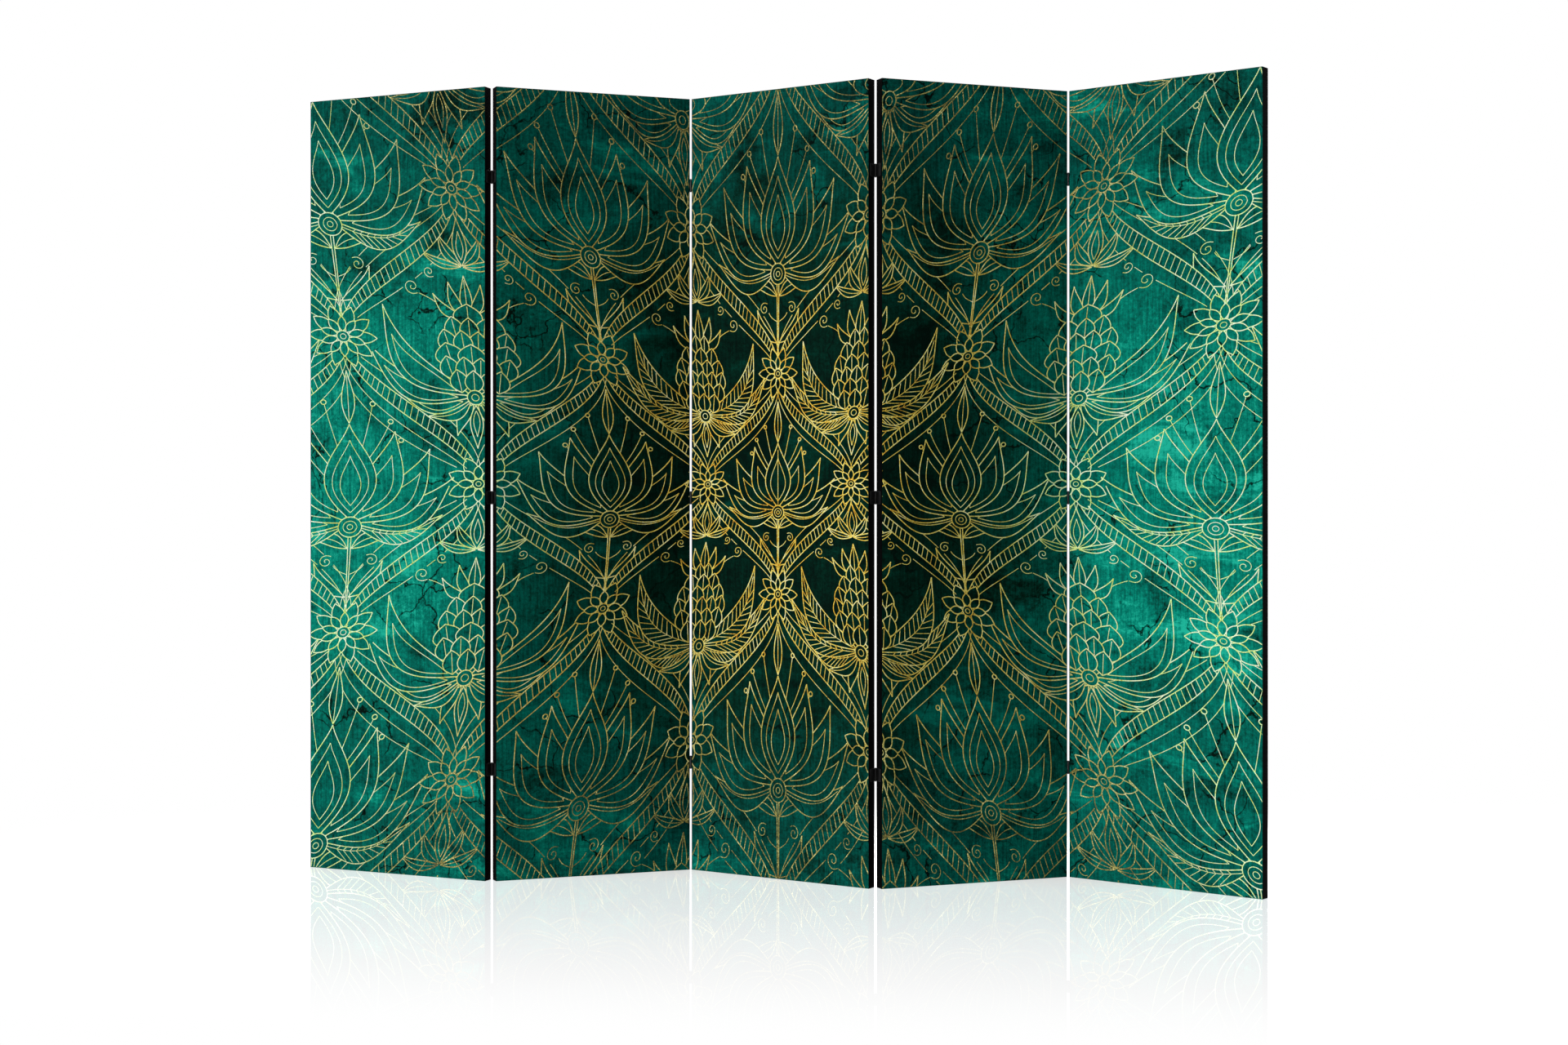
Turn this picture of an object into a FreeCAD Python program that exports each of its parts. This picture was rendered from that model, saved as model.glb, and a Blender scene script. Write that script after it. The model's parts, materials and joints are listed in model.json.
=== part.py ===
"""Five-panel folding screen: cloth stretched over pine frames, joined by small black hinges.

Millimetres. +Z is up, -Y is the printed front, X runs along the screen. The origin is on the floor,
in the middle of the standing zigzag. Every panel is built in a frame of its own: x along its width
from the middle, y from the middle of its thickness towards the back, z up from the floor.
"""
import FreeCAD, Part
import Sketcher
import math
import os

doc = FreeCAD.newDocument("FoldingScreen")

SIZES = [
    ("panel_width", 450, "one panel, over the edge tape"),
    ("panel_height", 1720, "one panel, floor to top"),
    ("panel_thickness", 25, "one panel, over both cloths"),
    ("panel_gap", 3.8, "between two panels that stand in line"),
    ("left_fold", 46, "degrees between panels 1 and 2 as the screen stands"),
    ("middle_fold", 55, "degrees at both folds of panel 3 as the screen stands"),
    ("right_fold", 60, "degrees between panels 4 and 5 as the screen stands"),
    ("cloth_thickness", 0.6, "printed canvas and back lining"),
    ("cloth_wrap", 9, "how far each cloth turns over the frame's edge"),
    ("tape_thickness", 0.3, "black tape round the panel's edge"),
    ("bar_width", 40, "face width of a stretcher bar"),
    ("bar_lip", 9, "flat outer rim of a bar, which carries the cloth"),
    ("bar_relief", 2, "how far a bar's inner edge stays off each cloth"),
    ("cross_bar_width", 40, "height of the cross bar"),
    ("tenon_length", 22, "cross bar's tenon"),
    ("tenon_thickness", 8, "cross bar's tenon"),
    ("tenon_shoulder", 6, "above and below the tenon"),
    ("mortise_spare", 1, "glue space past the tenon's end"),
    ("low_hinge_rise", 240, "from the floor to the middle of the lowest hinge"),
    ("middle_hinge_drop", 30, "from half height down to the middle of the middle hinge"),
    ("high_hinge_drop", 193, "from the top down to the middle of the highest hinge"),
    ("leaf_height", 28, "hinge leaf, along the pin"),
    ("leaf_depth", 20, "hinge leaf, on the panel's edge"),
    ("leaf_thickness", 0.9, "sheet that the leaves are rolled from"),
    ("roll_seam", 0.4, "open seam where a rolled knuckle comes back to its leaf"),
    ("pivot_proud", 1.2, "pin axis outside the panel's face"),
    ("knuckle_gap", 0.2, "between the ends of two knuckles"),
    ("knuckle_clearance", 0.3, "round a knuckle, in the other leaf's notch"),
    ("pin_clearance", 0.05, "radial, pin in knuckle"),
    ("overrun", 1, "how far a cutting shape passes the face that it leaves by"),
]

sheet = doc.addObject("Spreadsheet::Sheet", "Sizes")
for row, (alias, number, note) in enumerate(SIZES, start=1):
    sheet.set(f"A{row}", alias)
    sheet.set(f"B{row}", str(number))
    sheet.setAlias(f"B{row}", alias)
    sheet.set(f"C{row}", note)
doc.recompute()


def size(alias):
    """A driving size as a number."""
    return float(sheet.get(alias))


# Sizes worked out from the driving ones, as expressions for the features.
TAPED_WIDTH = "(Sizes.panel_width - 2 * Sizes.tape_thickness)"
TAPED_HEIGHT = "(Sizes.panel_height - Sizes.tape_thickness)"
FRAME_WIDTH = "(Sizes.panel_width - 2 * Sizes.tape_thickness - 2 * Sizes.cloth_thickness)"
FRAME_HEIGHT = "(Sizes.panel_height - Sizes.tape_thickness - Sizes.cloth_thickness)"
FRAME_DEPTH = "(Sizes.panel_thickness - 2 * Sizes.cloth_thickness)"
INNER_DEPTH = "(Sizes.panel_thickness - 2 * Sizes.cloth_thickness - 2 * Sizes.bar_relief)"
TENON_HEIGHT = "(Sizes.cross_bar_width - 2 * Sizes.tenon_shoulder)"
MITRE_REACH = "(Sizes.bar_width + Sizes.overrun)"
BARREL_RADIUS = "(Sizes.panel_gap / 2)"
BORE_RADIUS = "(Sizes.panel_gap / 2 - Sizes.leaf_thickness)"
PIN_RADIUS = "(Sizes.panel_gap / 2 - Sizes.leaf_thickness - Sizes.pin_clearance)"
KNUCKLE_LENGTH = "((Sizes.leaf_height - 2 * Sizes.knuckle_gap) / 3)"
NOTCH_REACH = "(Sizes.panel_gap / 2 + Sizes.knuckle_clearance)"

# The same as numbers, for the places of the pieces.
skin = size("tape_thickness") + size("cloth_thickness")
half_frame_width = size("panel_width") / 2 - skin
frame_height = size("panel_height") - skin
half_thickness = size("panel_thickness") / 2
half_gap = size("panel_gap") / 2
pivot_across = size("panel_width") / 2 + half_gap
pivot_out = half_thickness + size("pivot_proud")
hinge_heights = [
    size("low_hinge_rise"),
    size("panel_height") / 2 - size("middle_hinge_drop"),
    size("panel_height") - size("high_hinge_drop"),
]

X_AXIS = FreeCAD.Vector(1, 0, 0)
Y_AXIS = FreeCAD.Vector(0, 1, 0)
Z_AXIS = FreeCAD.Vector(0, 0, 1)
FRONT, BACK = -1, 1
LEFT, RIGHT = -1, 1
HALF_TURN = 180
QUARTER_TURN = 90


def placed(x, y, z, axis=Z_AXIS, degrees=0):
    return FreeCAD.Placement(FreeCAD.Vector(x, y, z), FreeCAD.Rotation(axis, degrees))


def new_body(name):
    body = doc.addObject("PartDesign::Body", name)
    body.Label = name
    return body


def new_sketch(body, plane_role, shift=None):
    """A sketch on one of the body's own origin planes, or shifted along that plane's normal."""
    sketch = body.newObject("Sketcher::SketchObject", body.Name + "_sketch")
    plane = next(f for f in body.Origin.OriginFeatures if f.Role == plane_role)
    sketch.AttachmentSupport = [(plane, "")]
    sketch.MapMode = "FlatFace"
    if shift:
        sketch.setExpression("AttachmentOffset.Base.z", shift)
    return sketch


def pin_down(sketch, geometry, vertex, across, up):
    """Fixes one point of a sketch at (across, up), each an expression; a leading minus turns it round."""
    origin = (-1, 1)
    point = (geometry, vertex)
    for kind, expression, axis in (("DistanceX", across, -2), ("DistanceY", up, -1)):
        if expression == "0":
            sketch.addConstraint(Sketcher.Constraint("PointOnObject", *point, axis))
            continue
        ends = point + origin if expression.startswith("-") else origin + point
        index = sketch.addConstraint(Sketcher.Constraint(kind, *ends, size("overrun")))
        sketch.setExpression(f"Constraints[{index}]", expression.lstrip("-"))


def draw_outline(sketch, corners):
    """A closed outline of straight edges through the corners, each an (across, up) pair."""
    first = sketch.GeometryCount
    count = len(corners)
    angles = [math.tau * i / count for i in range(count)]
    rough = [FreeCAD.Vector(math.cos(angle), math.sin(angle), 0) for angle in angles]
    for i in range(count):
        sketch.addGeometry(Part.LineSegment(rough[i], rough[(i + 1) % count]))
    for i in range(count):
        sketch.addConstraint(Sketcher.Constraint("Coincident", first + i, 2, first + (i + 1) % count, 1))
    for i, (across, up) in enumerate(corners):
        pin_down(sketch, first + i, 1, across, up)


def draw_rectangle(sketch, left, low, right, high):
    draw_outline(sketch, [(left, low), (right, low), (right, high), (left, high)])


def draw_circle(sketch, across, up, radius):
    index = sketch.addGeometry(Part.Circle(FreeCAD.Vector(), Z_AXIS, size("overrun")))
    pin_down(sketch, index, 3, across, up)
    limit = sketch.addConstraint(Sketcher.Constraint("Radius", index, size("overrun")))
    sketch.setExpression(f"Constraints[{limit}]", radius)


def extrude(body, kind, sketch, length, both_ways=False, turned=False):
    """A Pad or Pocket of the sketch. A pad follows the sketch's normal and a pocket goes against it."""
    feature = body.newObject("PartDesign::" + kind, body.Name + "_" + kind)
    feature.Profile = sketch
    feature.setExpression("Length", length)
    feature.Midplane = both_ways
    feature.Reversed = turned
    return feature


def stretcher_bar(name, length, place, mortised=False):
    """A mitred bar along local z. Its outer face is at x = 0, and its inner edge is thinner than its rim."""
    body = new_body(name)
    section = new_sketch(body, "XY_Plane")
    draw_outline(
        section,
        [
            ("0", f"-{FRAME_DEPTH} / 2"),
            ("Sizes.bar_lip", f"-{FRAME_DEPTH} / 2"),
            ("Sizes.bar_width", f"-{INNER_DEPTH} / 2"),
            ("Sizes.bar_width", f"{INNER_DEPTH} / 2"),
            ("Sizes.bar_lip", f"{FRAME_DEPTH} / 2"),
            ("0", f"{FRAME_DEPTH} / 2"),
        ],
    )
    extrude(body, "Pad", section, length)
    mitres = new_sketch(body, "XZ_Plane")
    draw_outline(mitres, [("0", "0"), (MITRE_REACH, "0"), (MITRE_REACH, MITRE_REACH)])
    draw_outline(mitres, [("0", length), (MITRE_REACH, f"{length} - {MITRE_REACH}"), (MITRE_REACH, length)])
    extrude(body, "Pocket", mitres, "Sizes.panel_thickness", both_ways=True)
    if mortised:
        mortise = new_sketch(body, "YZ_Plane", "Sizes.bar_width")
        middle = f"{FRAME_HEIGHT} / 2"
        half = f"{TENON_HEIGHT} / 2"
        side = "Sizes.tenon_thickness / 2"
        draw_rectangle(mortise, f"-{side}", f"{middle} - {half}", side, f"{middle} + {half}")
        extrude(body, "Pocket", mortise, "Sizes.tenon_length + Sizes.mortise_spare")
    body.Placement = place
    return body


def cross_bar(name, place):
    """The bar at half height, thin enough to stay off both cloths, with a tenon at each end."""
    body = new_body(name)
    section = new_sketch(body, "YZ_Plane")
    depth = f"{INNER_DEPTH} / 2"
    height = "Sizes.cross_bar_width / 2"
    draw_rectangle(section, f"-{depth}", f"-{height}", depth, height)
    extrude(body, "Pad", section, f"{FRAME_WIDTH} - 2 * Sizes.bar_width", both_ways=True)
    tenon = new_sketch(body, "YZ_Plane")
    depth = "Sizes.tenon_thickness / 2"
    height = f"{TENON_HEIGHT} / 2"
    draw_rectangle(tenon, f"-{depth}", f"-{height}", depth, height)
    extrude(
        body,
        "Pad",
        tenon,
        f"{FRAME_WIDTH} - 2 * Sizes.bar_width + 2 * Sizes.tenon_length",
        both_ways=True,
    )
    body.Placement = place
    return body


def stretched_cloth(name, place):
    """A cloth over one face of the frame, turned over both sides and the top. Its outer face is at y = 0."""
    body = new_body(name)
    outside = new_sketch(body, "XZ_Plane")
    half = f"{TAPED_WIDTH} / 2"
    draw_rectangle(outside, f"-{half}", "0", half, TAPED_HEIGHT)
    extrude(body, "Pad", outside, "Sizes.cloth_thickness + Sizes.cloth_wrap", turned=True)
    inside = new_sketch(body, "XZ_Plane", "-Sizes.cloth_thickness")
    half = f"{FRAME_WIDTH} / 2"
    draw_rectangle(inside, f"-{half}", "-Sizes.overrun", half, FRAME_HEIGHT)
    extrude(body, "Pocket", inside, "Sizes.cloth_wrap + Sizes.overrun")
    body.Placement = place
    return body


def edge_tape(name, place):
    """One strip up the left side, over the top and down the right side."""
    body = new_body(name)
    outline = new_sketch(body, "XZ_Plane")
    outer = "Sizes.panel_width / 2"
    inner = f"{TAPED_WIDTH} / 2"
    draw_outline(
        outline,
        [
            (f"-{outer}", "0"),
            (f"-{outer}", "Sizes.panel_height"),
            (outer, "Sizes.panel_height"),
            (outer, "0"),
            (inner, "0"),
            (inner, TAPED_HEIGHT),
            (f"-{inner}", TAPED_HEIGHT),
            (f"-{inner}", "0"),
        ],
    )
    extrude(body, "Pad", outline, "Sizes.panel_thickness", both_ways=True)
    body.Placement = place
    return body


def hinge_leaf(name, knuckles_at_ends):
    """A leaf with its pin axis on local z and its plate at +x, running to +y. It is made once and copied."""
    body = new_body(name)
    plate = new_sketch(body, "XY_Plane")
    draw_rectangle(plate, BORE_RADIUS, "0", BARREL_RADIUS, "Sizes.pivot_proud + Sizes.leaf_depth")
    extrude(body, "Pad", plate, "Sizes.leaf_height", both_ways=True)
    barrel = new_sketch(body, "XY_Plane")
    draw_circle(barrel, "0", "0", BARREL_RADIUS)
    extrude(body, "Pad", barrel, "Sizes.leaf_height", both_ways=True)
    bore = new_sketch(body, "XY_Plane")
    draw_circle(bore, "0", "0", BORE_RADIUS)
    extrude(body, "Pocket", bore, "Sizes.leaf_height + Sizes.overrun", both_ways=True)
    seam = new_sketch(body, "XY_Plane")
    draw_rectangle(seam, f"{BORE_RADIUS} - Sizes.roll_seam", "0", BORE_RADIUS, f"{BARREL_RADIUS} + Sizes.overrun")
    extrude(body, "Pocket", seam, "Sizes.leaf_height + Sizes.overrun", both_ways=True)
    notch = new_sketch(body, "YZ_Plane")
    if knuckles_at_ends:
        half = f"({KNUCKLE_LENGTH} / 2 + Sizes.knuckle_gap)"
        draw_rectangle(notch, f"-{NOTCH_REACH}", f"-{half}", NOTCH_REACH, half)
    else:
        near = f"{KNUCKLE_LENGTH} / 2"
        far = "Sizes.leaf_height / 2 + Sizes.overrun"
        draw_rectangle(notch, f"-{NOTCH_REACH}", near, NOTCH_REACH, far)
        draw_rectangle(notch, f"-{NOTCH_REACH}", f"-({far})", NOTCH_REACH, f"-{near}")
    extrude(body, "Pocket", notch, "Sizes.panel_gap + Sizes.overrun", both_ways=True)
    return body


def hinge_pin(name):
    """A plain pin along local z, its middle at the leaf's middle. Its ends are flush with the knuckles."""
    body = new_body(name)
    shaft = new_sketch(body, "XY_Plane")
    draw_circle(shaft, "0", "0", PIN_RADIUS)
    extrude(body, "Pad", shaft, "Sizes.leaf_height", both_ways=True)
    return body


def group(name, pattern, places, panel_place):
    """Separate copies of one pattern piece, kept together as one node."""
    copies = []
    for place in places:
        link = doc.addObject("App::Link", pattern.Name + "_copy")
        link.LinkedObject = pattern
        link.LinkTransform = False
        link.Placement = place
        copies.append(link)
    compound = doc.addObject("Part::Compound", name)
    compound.Label = name
    compound.Links = copies
    compound.Placement = panel_place
    return compound


def pin_axis_point(side, face):
    """Where the pin axis at one side of a panel stands, in the panel's frame."""
    return FreeCAD.Vector(side * pivot_across, face * pivot_out, 0)


def neighbour(place, side, face, heading):
    """The place of the panel on one side of a placed one, turned to its heading about the pin axis they share."""
    axis_point = place.multVec(pin_axis_point(side, face))
    turn = FreeCAD.Rotation(Z_AXIS, heading)
    return FreeCAD.Placement(axis_point - turn.multVec(pin_axis_point(-side, face)), turn)


# The face that carries the pins at each fold: 1|2, 2|3, 3|4 and 4|5.
PIN_FACES = (BACK, FRONT, BACK, FRONT)

# The headings of the panels' x axes, seen from above. Panel 3 leans one way, 2 and 4 the other.
middle_heading = size("middle_fold") / 2
headings = [
    middle_heading - size("left_fold"),
    middle_heading,
    -middle_heading,
    middle_heading,
    middle_heading - size("right_fold"),
]
third = placed(0, 0, 0, Z_AXIS, headings[2])
second = neighbour(third, LEFT, PIN_FACES[1], headings[1])
first = neighbour(second, LEFT, PIN_FACES[0], headings[0])
fourth = neighbour(third, RIGHT, PIN_FACES[2], headings[3])
fifth = neighbour(fourth, RIGHT, PIN_FACES[3], headings[4])
panel_places = [first, second, third, fourth, fifth]

# The origin goes to the middle of the box that the standing panels fill.
corners = [
    place.multVec(FreeCAD.Vector(side * size("panel_width") / 2, face * half_thickness, 0))
    for place in panel_places
    for side in (LEFT, RIGHT)
    for face in (FRONT, BACK)
]
standing_box = FreeCAD.BoundBox()
for corner in corners:
    standing_box.add(corner)
for place in panel_places:
    place.Base = place.Base - standing_box.Center

# How the one leaf pattern turns to reach each side and face of a panel.
LEAF_TURNS = {
    (LEFT, FRONT): (Z_AXIS, 0),
    (LEFT, BACK): (X_AXIS, HALF_TURN),
    (RIGHT, FRONT): (Y_AXIS, HALF_TURN),
    (RIGHT, BACK): (Z_AXIS, HALF_TURN),
}
SIDE_NAMES = {LEFT: "left", RIGHT: "right"}

outer_leaf = hinge_leaf("leaf_with_outer_knuckles", knuckles_at_ends=True)
inner_leaf = hinge_leaf("leaf_with_middle_knuckle", knuckles_at_ends=False)
pin = hinge_pin("pin")
nodes = []

for number, panel_place in enumerate(panel_places, start=1):
    name = f"panel_{number}_"
    folds = {}
    if number > 1:
        folds[LEFT] = PIN_FACES[number - 2]
    if number < len(panel_places):
        folds[RIGHT] = PIN_FACES[number - 1]
    bars = [
        ("left_stile", FRAME_HEIGHT, placed(-half_frame_width, 0, 0), True),
        ("right_stile", FRAME_HEIGHT, placed(half_frame_width, 0, 0, Z_AXIS, HALF_TURN), True),
        ("bottom_rail", FRAME_WIDTH, placed(half_frame_width, 0, 0, Y_AXIS, -QUARTER_TURN), False),
        ("top_rail", FRAME_WIDTH, placed(-half_frame_width, 0, frame_height, Y_AXIS, QUARTER_TURN), False),
    ]
    for piece, length, place, mortised in bars:
        nodes.append(stretcher_bar(name + piece, length, panel_place * place, mortised))
    nodes.append(cross_bar(name + "cross_bar", panel_place * placed(0, 0, frame_height / 2)))
    nodes.append(stretched_cloth(name + "printed_canvas", panel_place * placed(0, -half_thickness, 0)))
    turned_place = placed(0, half_thickness, 0, Z_AXIS, HALF_TURN)
    nodes.append(stretched_cloth(name + "back_lining", panel_place * turned_place))
    nodes.append(edge_tape(name + "edge_tape", panel_place))
    for side, face in folds.items():
        pattern = inner_leaf if side == LEFT else outer_leaf
        leaf_places = [
            placed(side * pivot_across, face * pivot_out, height, *LEAF_TURNS[side, face]) for height in hinge_heights
        ]
        nodes.append(group(f"{name}{SIDE_NAMES[side]}_hinge_leaves", pattern, leaf_places, panel_place))
    if RIGHT in folds:
        pin_places = [placed(pivot_across, folds[RIGHT] * pivot_out, height) for height in hinge_heights]
        nodes.append(group(f"fold_{number}_{number + 1}_pins", pin, pin_places, panel_place))

doc.recompute()

for thing in doc.Objects:
    if {"Invalid", "Error"} & set(thing.State):
        raise RuntimeError(f"{thing.Label} is {thing.State}")
for node in nodes:
    if node.Shape.isNull() or not node.Shape.isValid():
        raise RuntimeError(f"{node.Label} has no sound shape")

os.makedirs("parts", exist_ok=True)
for node in nodes:
    node.Shape.exportStep(f"parts/{node.Label}.step")

print(f"{len(nodes)} nodes, {sum(len(node.Shape.Solids) for node in nodes)} solids")
for number, face in enumerate(PIN_FACES, start=1):
    axis_point = panel_places[number - 1].multVec(pin_axis_point(RIGHT, face))
    print(f"fold {number}|{number + 1}: pin axis at x {axis_point.x:.4f}, y {axis_point.y:.4f}")
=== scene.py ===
# %% [markdown]
# # Dressing a five-panel folding screen
#
# The screen is five flat boxes that stand in a zigzag. Each box is a pine frame with a printed
# canvas on its front, a plain lining on its back and a black tape round its edge. Small black
# hinges join the boxes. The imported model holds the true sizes, so this lesson starts by loading
# it, and every new piece is measured from it and moves with one of its bodies.

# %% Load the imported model
import json
import math
from collections import namedtuple

import bmesh
import bpy
from mathutils import Matrix, Vector


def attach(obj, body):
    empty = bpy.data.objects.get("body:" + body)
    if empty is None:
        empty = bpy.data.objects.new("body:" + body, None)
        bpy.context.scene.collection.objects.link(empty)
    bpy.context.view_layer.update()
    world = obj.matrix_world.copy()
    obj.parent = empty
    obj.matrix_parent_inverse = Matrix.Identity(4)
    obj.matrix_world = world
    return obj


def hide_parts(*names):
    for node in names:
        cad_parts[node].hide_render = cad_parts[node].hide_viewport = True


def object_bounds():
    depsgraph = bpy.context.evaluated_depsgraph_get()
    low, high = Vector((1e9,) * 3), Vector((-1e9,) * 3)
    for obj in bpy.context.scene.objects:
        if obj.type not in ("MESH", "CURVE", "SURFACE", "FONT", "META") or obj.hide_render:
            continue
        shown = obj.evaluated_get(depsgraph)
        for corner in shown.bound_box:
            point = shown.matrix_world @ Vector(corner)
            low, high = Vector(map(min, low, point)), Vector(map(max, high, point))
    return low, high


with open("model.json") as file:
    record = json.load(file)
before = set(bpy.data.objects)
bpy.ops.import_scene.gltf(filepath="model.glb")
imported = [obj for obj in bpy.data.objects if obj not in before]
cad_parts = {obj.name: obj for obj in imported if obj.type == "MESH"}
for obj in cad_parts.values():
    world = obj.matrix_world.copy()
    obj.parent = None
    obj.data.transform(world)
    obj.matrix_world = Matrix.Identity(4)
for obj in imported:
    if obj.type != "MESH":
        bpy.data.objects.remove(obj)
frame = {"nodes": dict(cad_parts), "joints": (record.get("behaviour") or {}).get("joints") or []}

cad_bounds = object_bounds()
bpy.ops.object.select_all(action="DESELECT")
MM = 0.001

# %% [markdown]
# ## Where each panel stands
#
# It is easiest to model a panel as if it stood alone: x runs across it from its middle, y from
# its front to its back, and z up from the floor. Each panel's own place is read from the model.
# The largest face of its canvas says which way the front looks, and the edge tape, which goes
# right round, gives the middle and the outer size.

# %% Read the panels' places and sizes
UP = Vector((0, 0, 1))
PANELS = (1, 2, 3, 4, 5)


def node_points(name):
    """The corners of a CAD node's mesh, in the row frame."""
    return [vertex.co.copy() for vertex in frame["nodes"][name].data.vertices]


def middle_along(points, direction):
    reach = [point.dot(direction) for point in points]
    return (min(reach) + max(reach)) / 2


def panel_place(number):
    """Takes a point from the panel's own frame to the row frame."""
    canvas = frame["nodes"][f"panel_{number}_printed_canvas"].data
    front = max(canvas.polygons, key=lambda face: face.area).normal.normalized()
    across = Vector((-front.y, front.x, 0))
    tape = node_points(f"panel_{number}_edge_tape")
    middle = across * middle_along(tape, across) + front * middle_along(tape, front)
    turn = Matrix((across, -front, UP)).transposed().to_4x4()
    return Matrix.Translation(middle) @ turn


def own_box(node, place):
    """Lowest and highest corner of a node in a panel's own frame."""
    points = [place.inverted() @ point for point in node_points(node)]
    low = Vector([min(point[i] for point in points) for i in range(3)])
    high = Vector([max(point[i] for point in points) for i in range(3)])
    return low, high


places = {number: panel_place(number) for number in PANELS}
tape_low, tape_high = own_box("panel_1_edge_tape", places[1])
PANEL_WIDTH, PANEL_THICKNESS, PANEL_HEIGHT = tape_high - tape_low
for number, place in places.items():
    middle, heading = place.translation, math.degrees(place.to_euler().z)
    print(f"panel {number}: middle {middle.x:.3f}, {middle.y:.3f}, heading {heading:.1f}")
print(f"one panel: {PANEL_WIDTH:.4f} x {PANEL_HEIGHT:.4f} x {PANEL_THICKNESS:.4f} m")

# %% [markdown]
# ## Camera
#
# The photograph was taken level, from about 0.8 m above the floor and 5 m away. Its fifteen
# panel corners fit one place, one heading and one lens. The lens looks a little past the
# screen, which is what the shift says: the picture is cut from the right part of a wider view.

# %% Set up the camera
CAMERA_PLACE = (0.3513, -4.9948, 0.8204)
CAMERA_HEADING = math.radians(6.948)
LENS = 52.8
SHIFT_X = 0.0833
SHIFT_Y = -0.0130

bpy.ops.object.camera_add(location=CAMERA_PLACE, rotation=(math.radians(90), 0, CAMERA_HEADING))
camera = bpy.context.object
camera.name = "camera"
camera.data.lens = LENS
camera.data.shift_x = SHIFT_X
camera.data.shift_y = SHIFT_Y
bpy.context.scene.camera = camera
print("camera at", CAMERA_PLACE)

# %% [markdown]
# ## Working in edit mode
#
# Operators act on what is selected. These helpers select one object, or the faces or edges of
# one object that a rule accepts, and put a finished piece in its place. The place ends up in
# the mesh, so that every object sits at the origin, as the nodes of the model do.

# %% Helpers for selecting and placing


def pick(piece):
    """Makes piece the only selected object."""
    bpy.ops.object.select_all(action="DESELECT")
    piece.select_set(True)
    bpy.context.view_layer.objects.active = piece


def edit(piece, kind, wanted):
    """Enters edit mode with only the faces or edges selected that wanted accepts."""
    pick(piece)
    bpy.ops.object.mode_set(mode="EDIT")
    bpy.ops.mesh.select_mode(type=kind)
    bpy.ops.mesh.select_all(action="DESELECT")
    mesh = bmesh.from_edit_mesh(piece.data)
    for item in mesh.faces if kind == "FACE" else mesh.edges:
        if wanted(item):
            item.select_set(True)
    mesh.select_flush_mode()
    bmesh.update_edit_mesh(piece.data)


def leave_edit():
    bpy.ops.object.mode_set(mode="OBJECT")


def settle(piece, place=Matrix()):
    """Moves a piece by place and keeps the result in its mesh."""
    pick(piece)
    piece.matrix_world = place @ piece.matrix_world
    bpy.ops.object.transform_apply(location=True, rotation=True, scale=True)
    return piece


def apply_modifier(piece, kind, **settings):
    pick(piece)
    modifier = piece.modifiers.new(kind.title(), kind)
    for name, value in settings.items():
        setattr(modifier, name, value)
    bpy.ops.object.modifier_apply(modifier=modifier.name)


# %% [markdown]
# What repeats is modelled once. Its copies get meshes of their own, so that each can be moved
# to its place, and copies that belong together are joined. A finished piece then gets its
# material, the body that it moves with, and the nodes of the model that it takes the place of.

# %% Helpers for copies and finished pieces


def copy_of(piece, name):
    """A copy with a mesh of its own."""
    twin = piece.copy()
    twin.data = piece.data.copy()
    twin.name = name
    bpy.context.collection.objects.link(twin)
    return twin


def joined(pieces, name):
    """Several objects made into one."""
    bpy.ops.object.select_all(action="DESELECT")
    for piece in pieces:
        piece.select_set(True)
    bpy.context.view_layer.objects.active = pieces[0]
    if len(pieces) > 1:
        bpy.ops.object.join()
    pieces[0].name = name
    return pieces[0]


def wear(piece, material, body, slot, *nodes):
    """Gives a finished piece its material and its body, and hides the nodes that it stands for. The slot is
    not used.
    """
    piece.data.materials.clear()
    piece.data.materials.append(material)
    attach(piece, body)
    if nodes:
        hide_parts(*nodes)


# %% [markdown]
# ## A short way to write materials
#
# Every finish here is a small net of nodes. The helper below adds one node and fills its
# sockets with numbers, or with the output of another node. Colours are written as they look
# on a screen, from 0 to 255, and turned into the linear values that the renderer wants.

# %% Helpers for colours and nodes


def tint(red, green, blue):
    """A screen colour, 0 to 255, as linear values with full alpha."""
    shares = [value / 255 for value in (red, green, blue)]
    return (*[s / 12.92 if s <= 0.04045 else ((s + 0.055) / 1.055) ** 2.4 for s in shares], 1)


def new_material(name):
    material = bpy.data.materials.new(name)
    material.use_nodes = True
    return material, material.node_tree, material.node_tree.nodes["Principled BSDF"]


def node(tree, kind, sockets=None, **settings):
    """Adds a node. Each socket gets a value or a link from another node's output."""
    made = tree.nodes.new("ShaderNode" + kind)
    for name, value in settings.items():
        setattr(made, name, value)
    for name, value in (sockets or {}).items():
        if isinstance(value, bpy.types.NodeSocket):
            tree.links.new(value, made.inputs[name])
        else:
            made.inputs[name].default_value = value
    return made


def sums(tree, operation, first, second=0.0, third=0.0):
    """One step of arithmetic on the values of a material."""
    return node(tree, "Math", {0: first, 1: second, 2: third}, operation=operation).outputs[0]


def set_surface(tree, surface, sockets):
    for name, value in sockets.items():
        if isinstance(value, bpy.types.NodeSocket):
            tree.links.new(value, surface.inputs[name])
        else:
            surface.inputs[name].default_value = value


def bump(tree, surface, height, distance, strength=1.0):
    made = node(tree, "Bump", {"Height": height, "Distance": distance, "Strength": strength})
    tree.links.new(made.outputs[0], surface.inputs["Normal"])


# %% [markdown]
# Patterns come from a few building blocks: noise, waves, soft steps and ramps of colours. A
# pattern that is longer one way than the other is noise whose place is stretched first.

# %% Helpers for patterns


def stretched(tree, vector, shares):
    """The same place measured with another scale along each axis."""
    return node(tree, "VectorMath", {0: vector, 1: shares}, operation="MULTIPLY").outputs[0]


def clouds(tree, vector, scale, detail=4.0, roughness=0.55, distortion=0.0):
    """Soft noise about 0.5."""
    sockets = {"Vector": vector, "Scale": scale, "Detail": detail, "Roughness": roughness}
    return node(tree, "TexNoise", {**sockets, "Distortion": distortion}).outputs[0]


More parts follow.
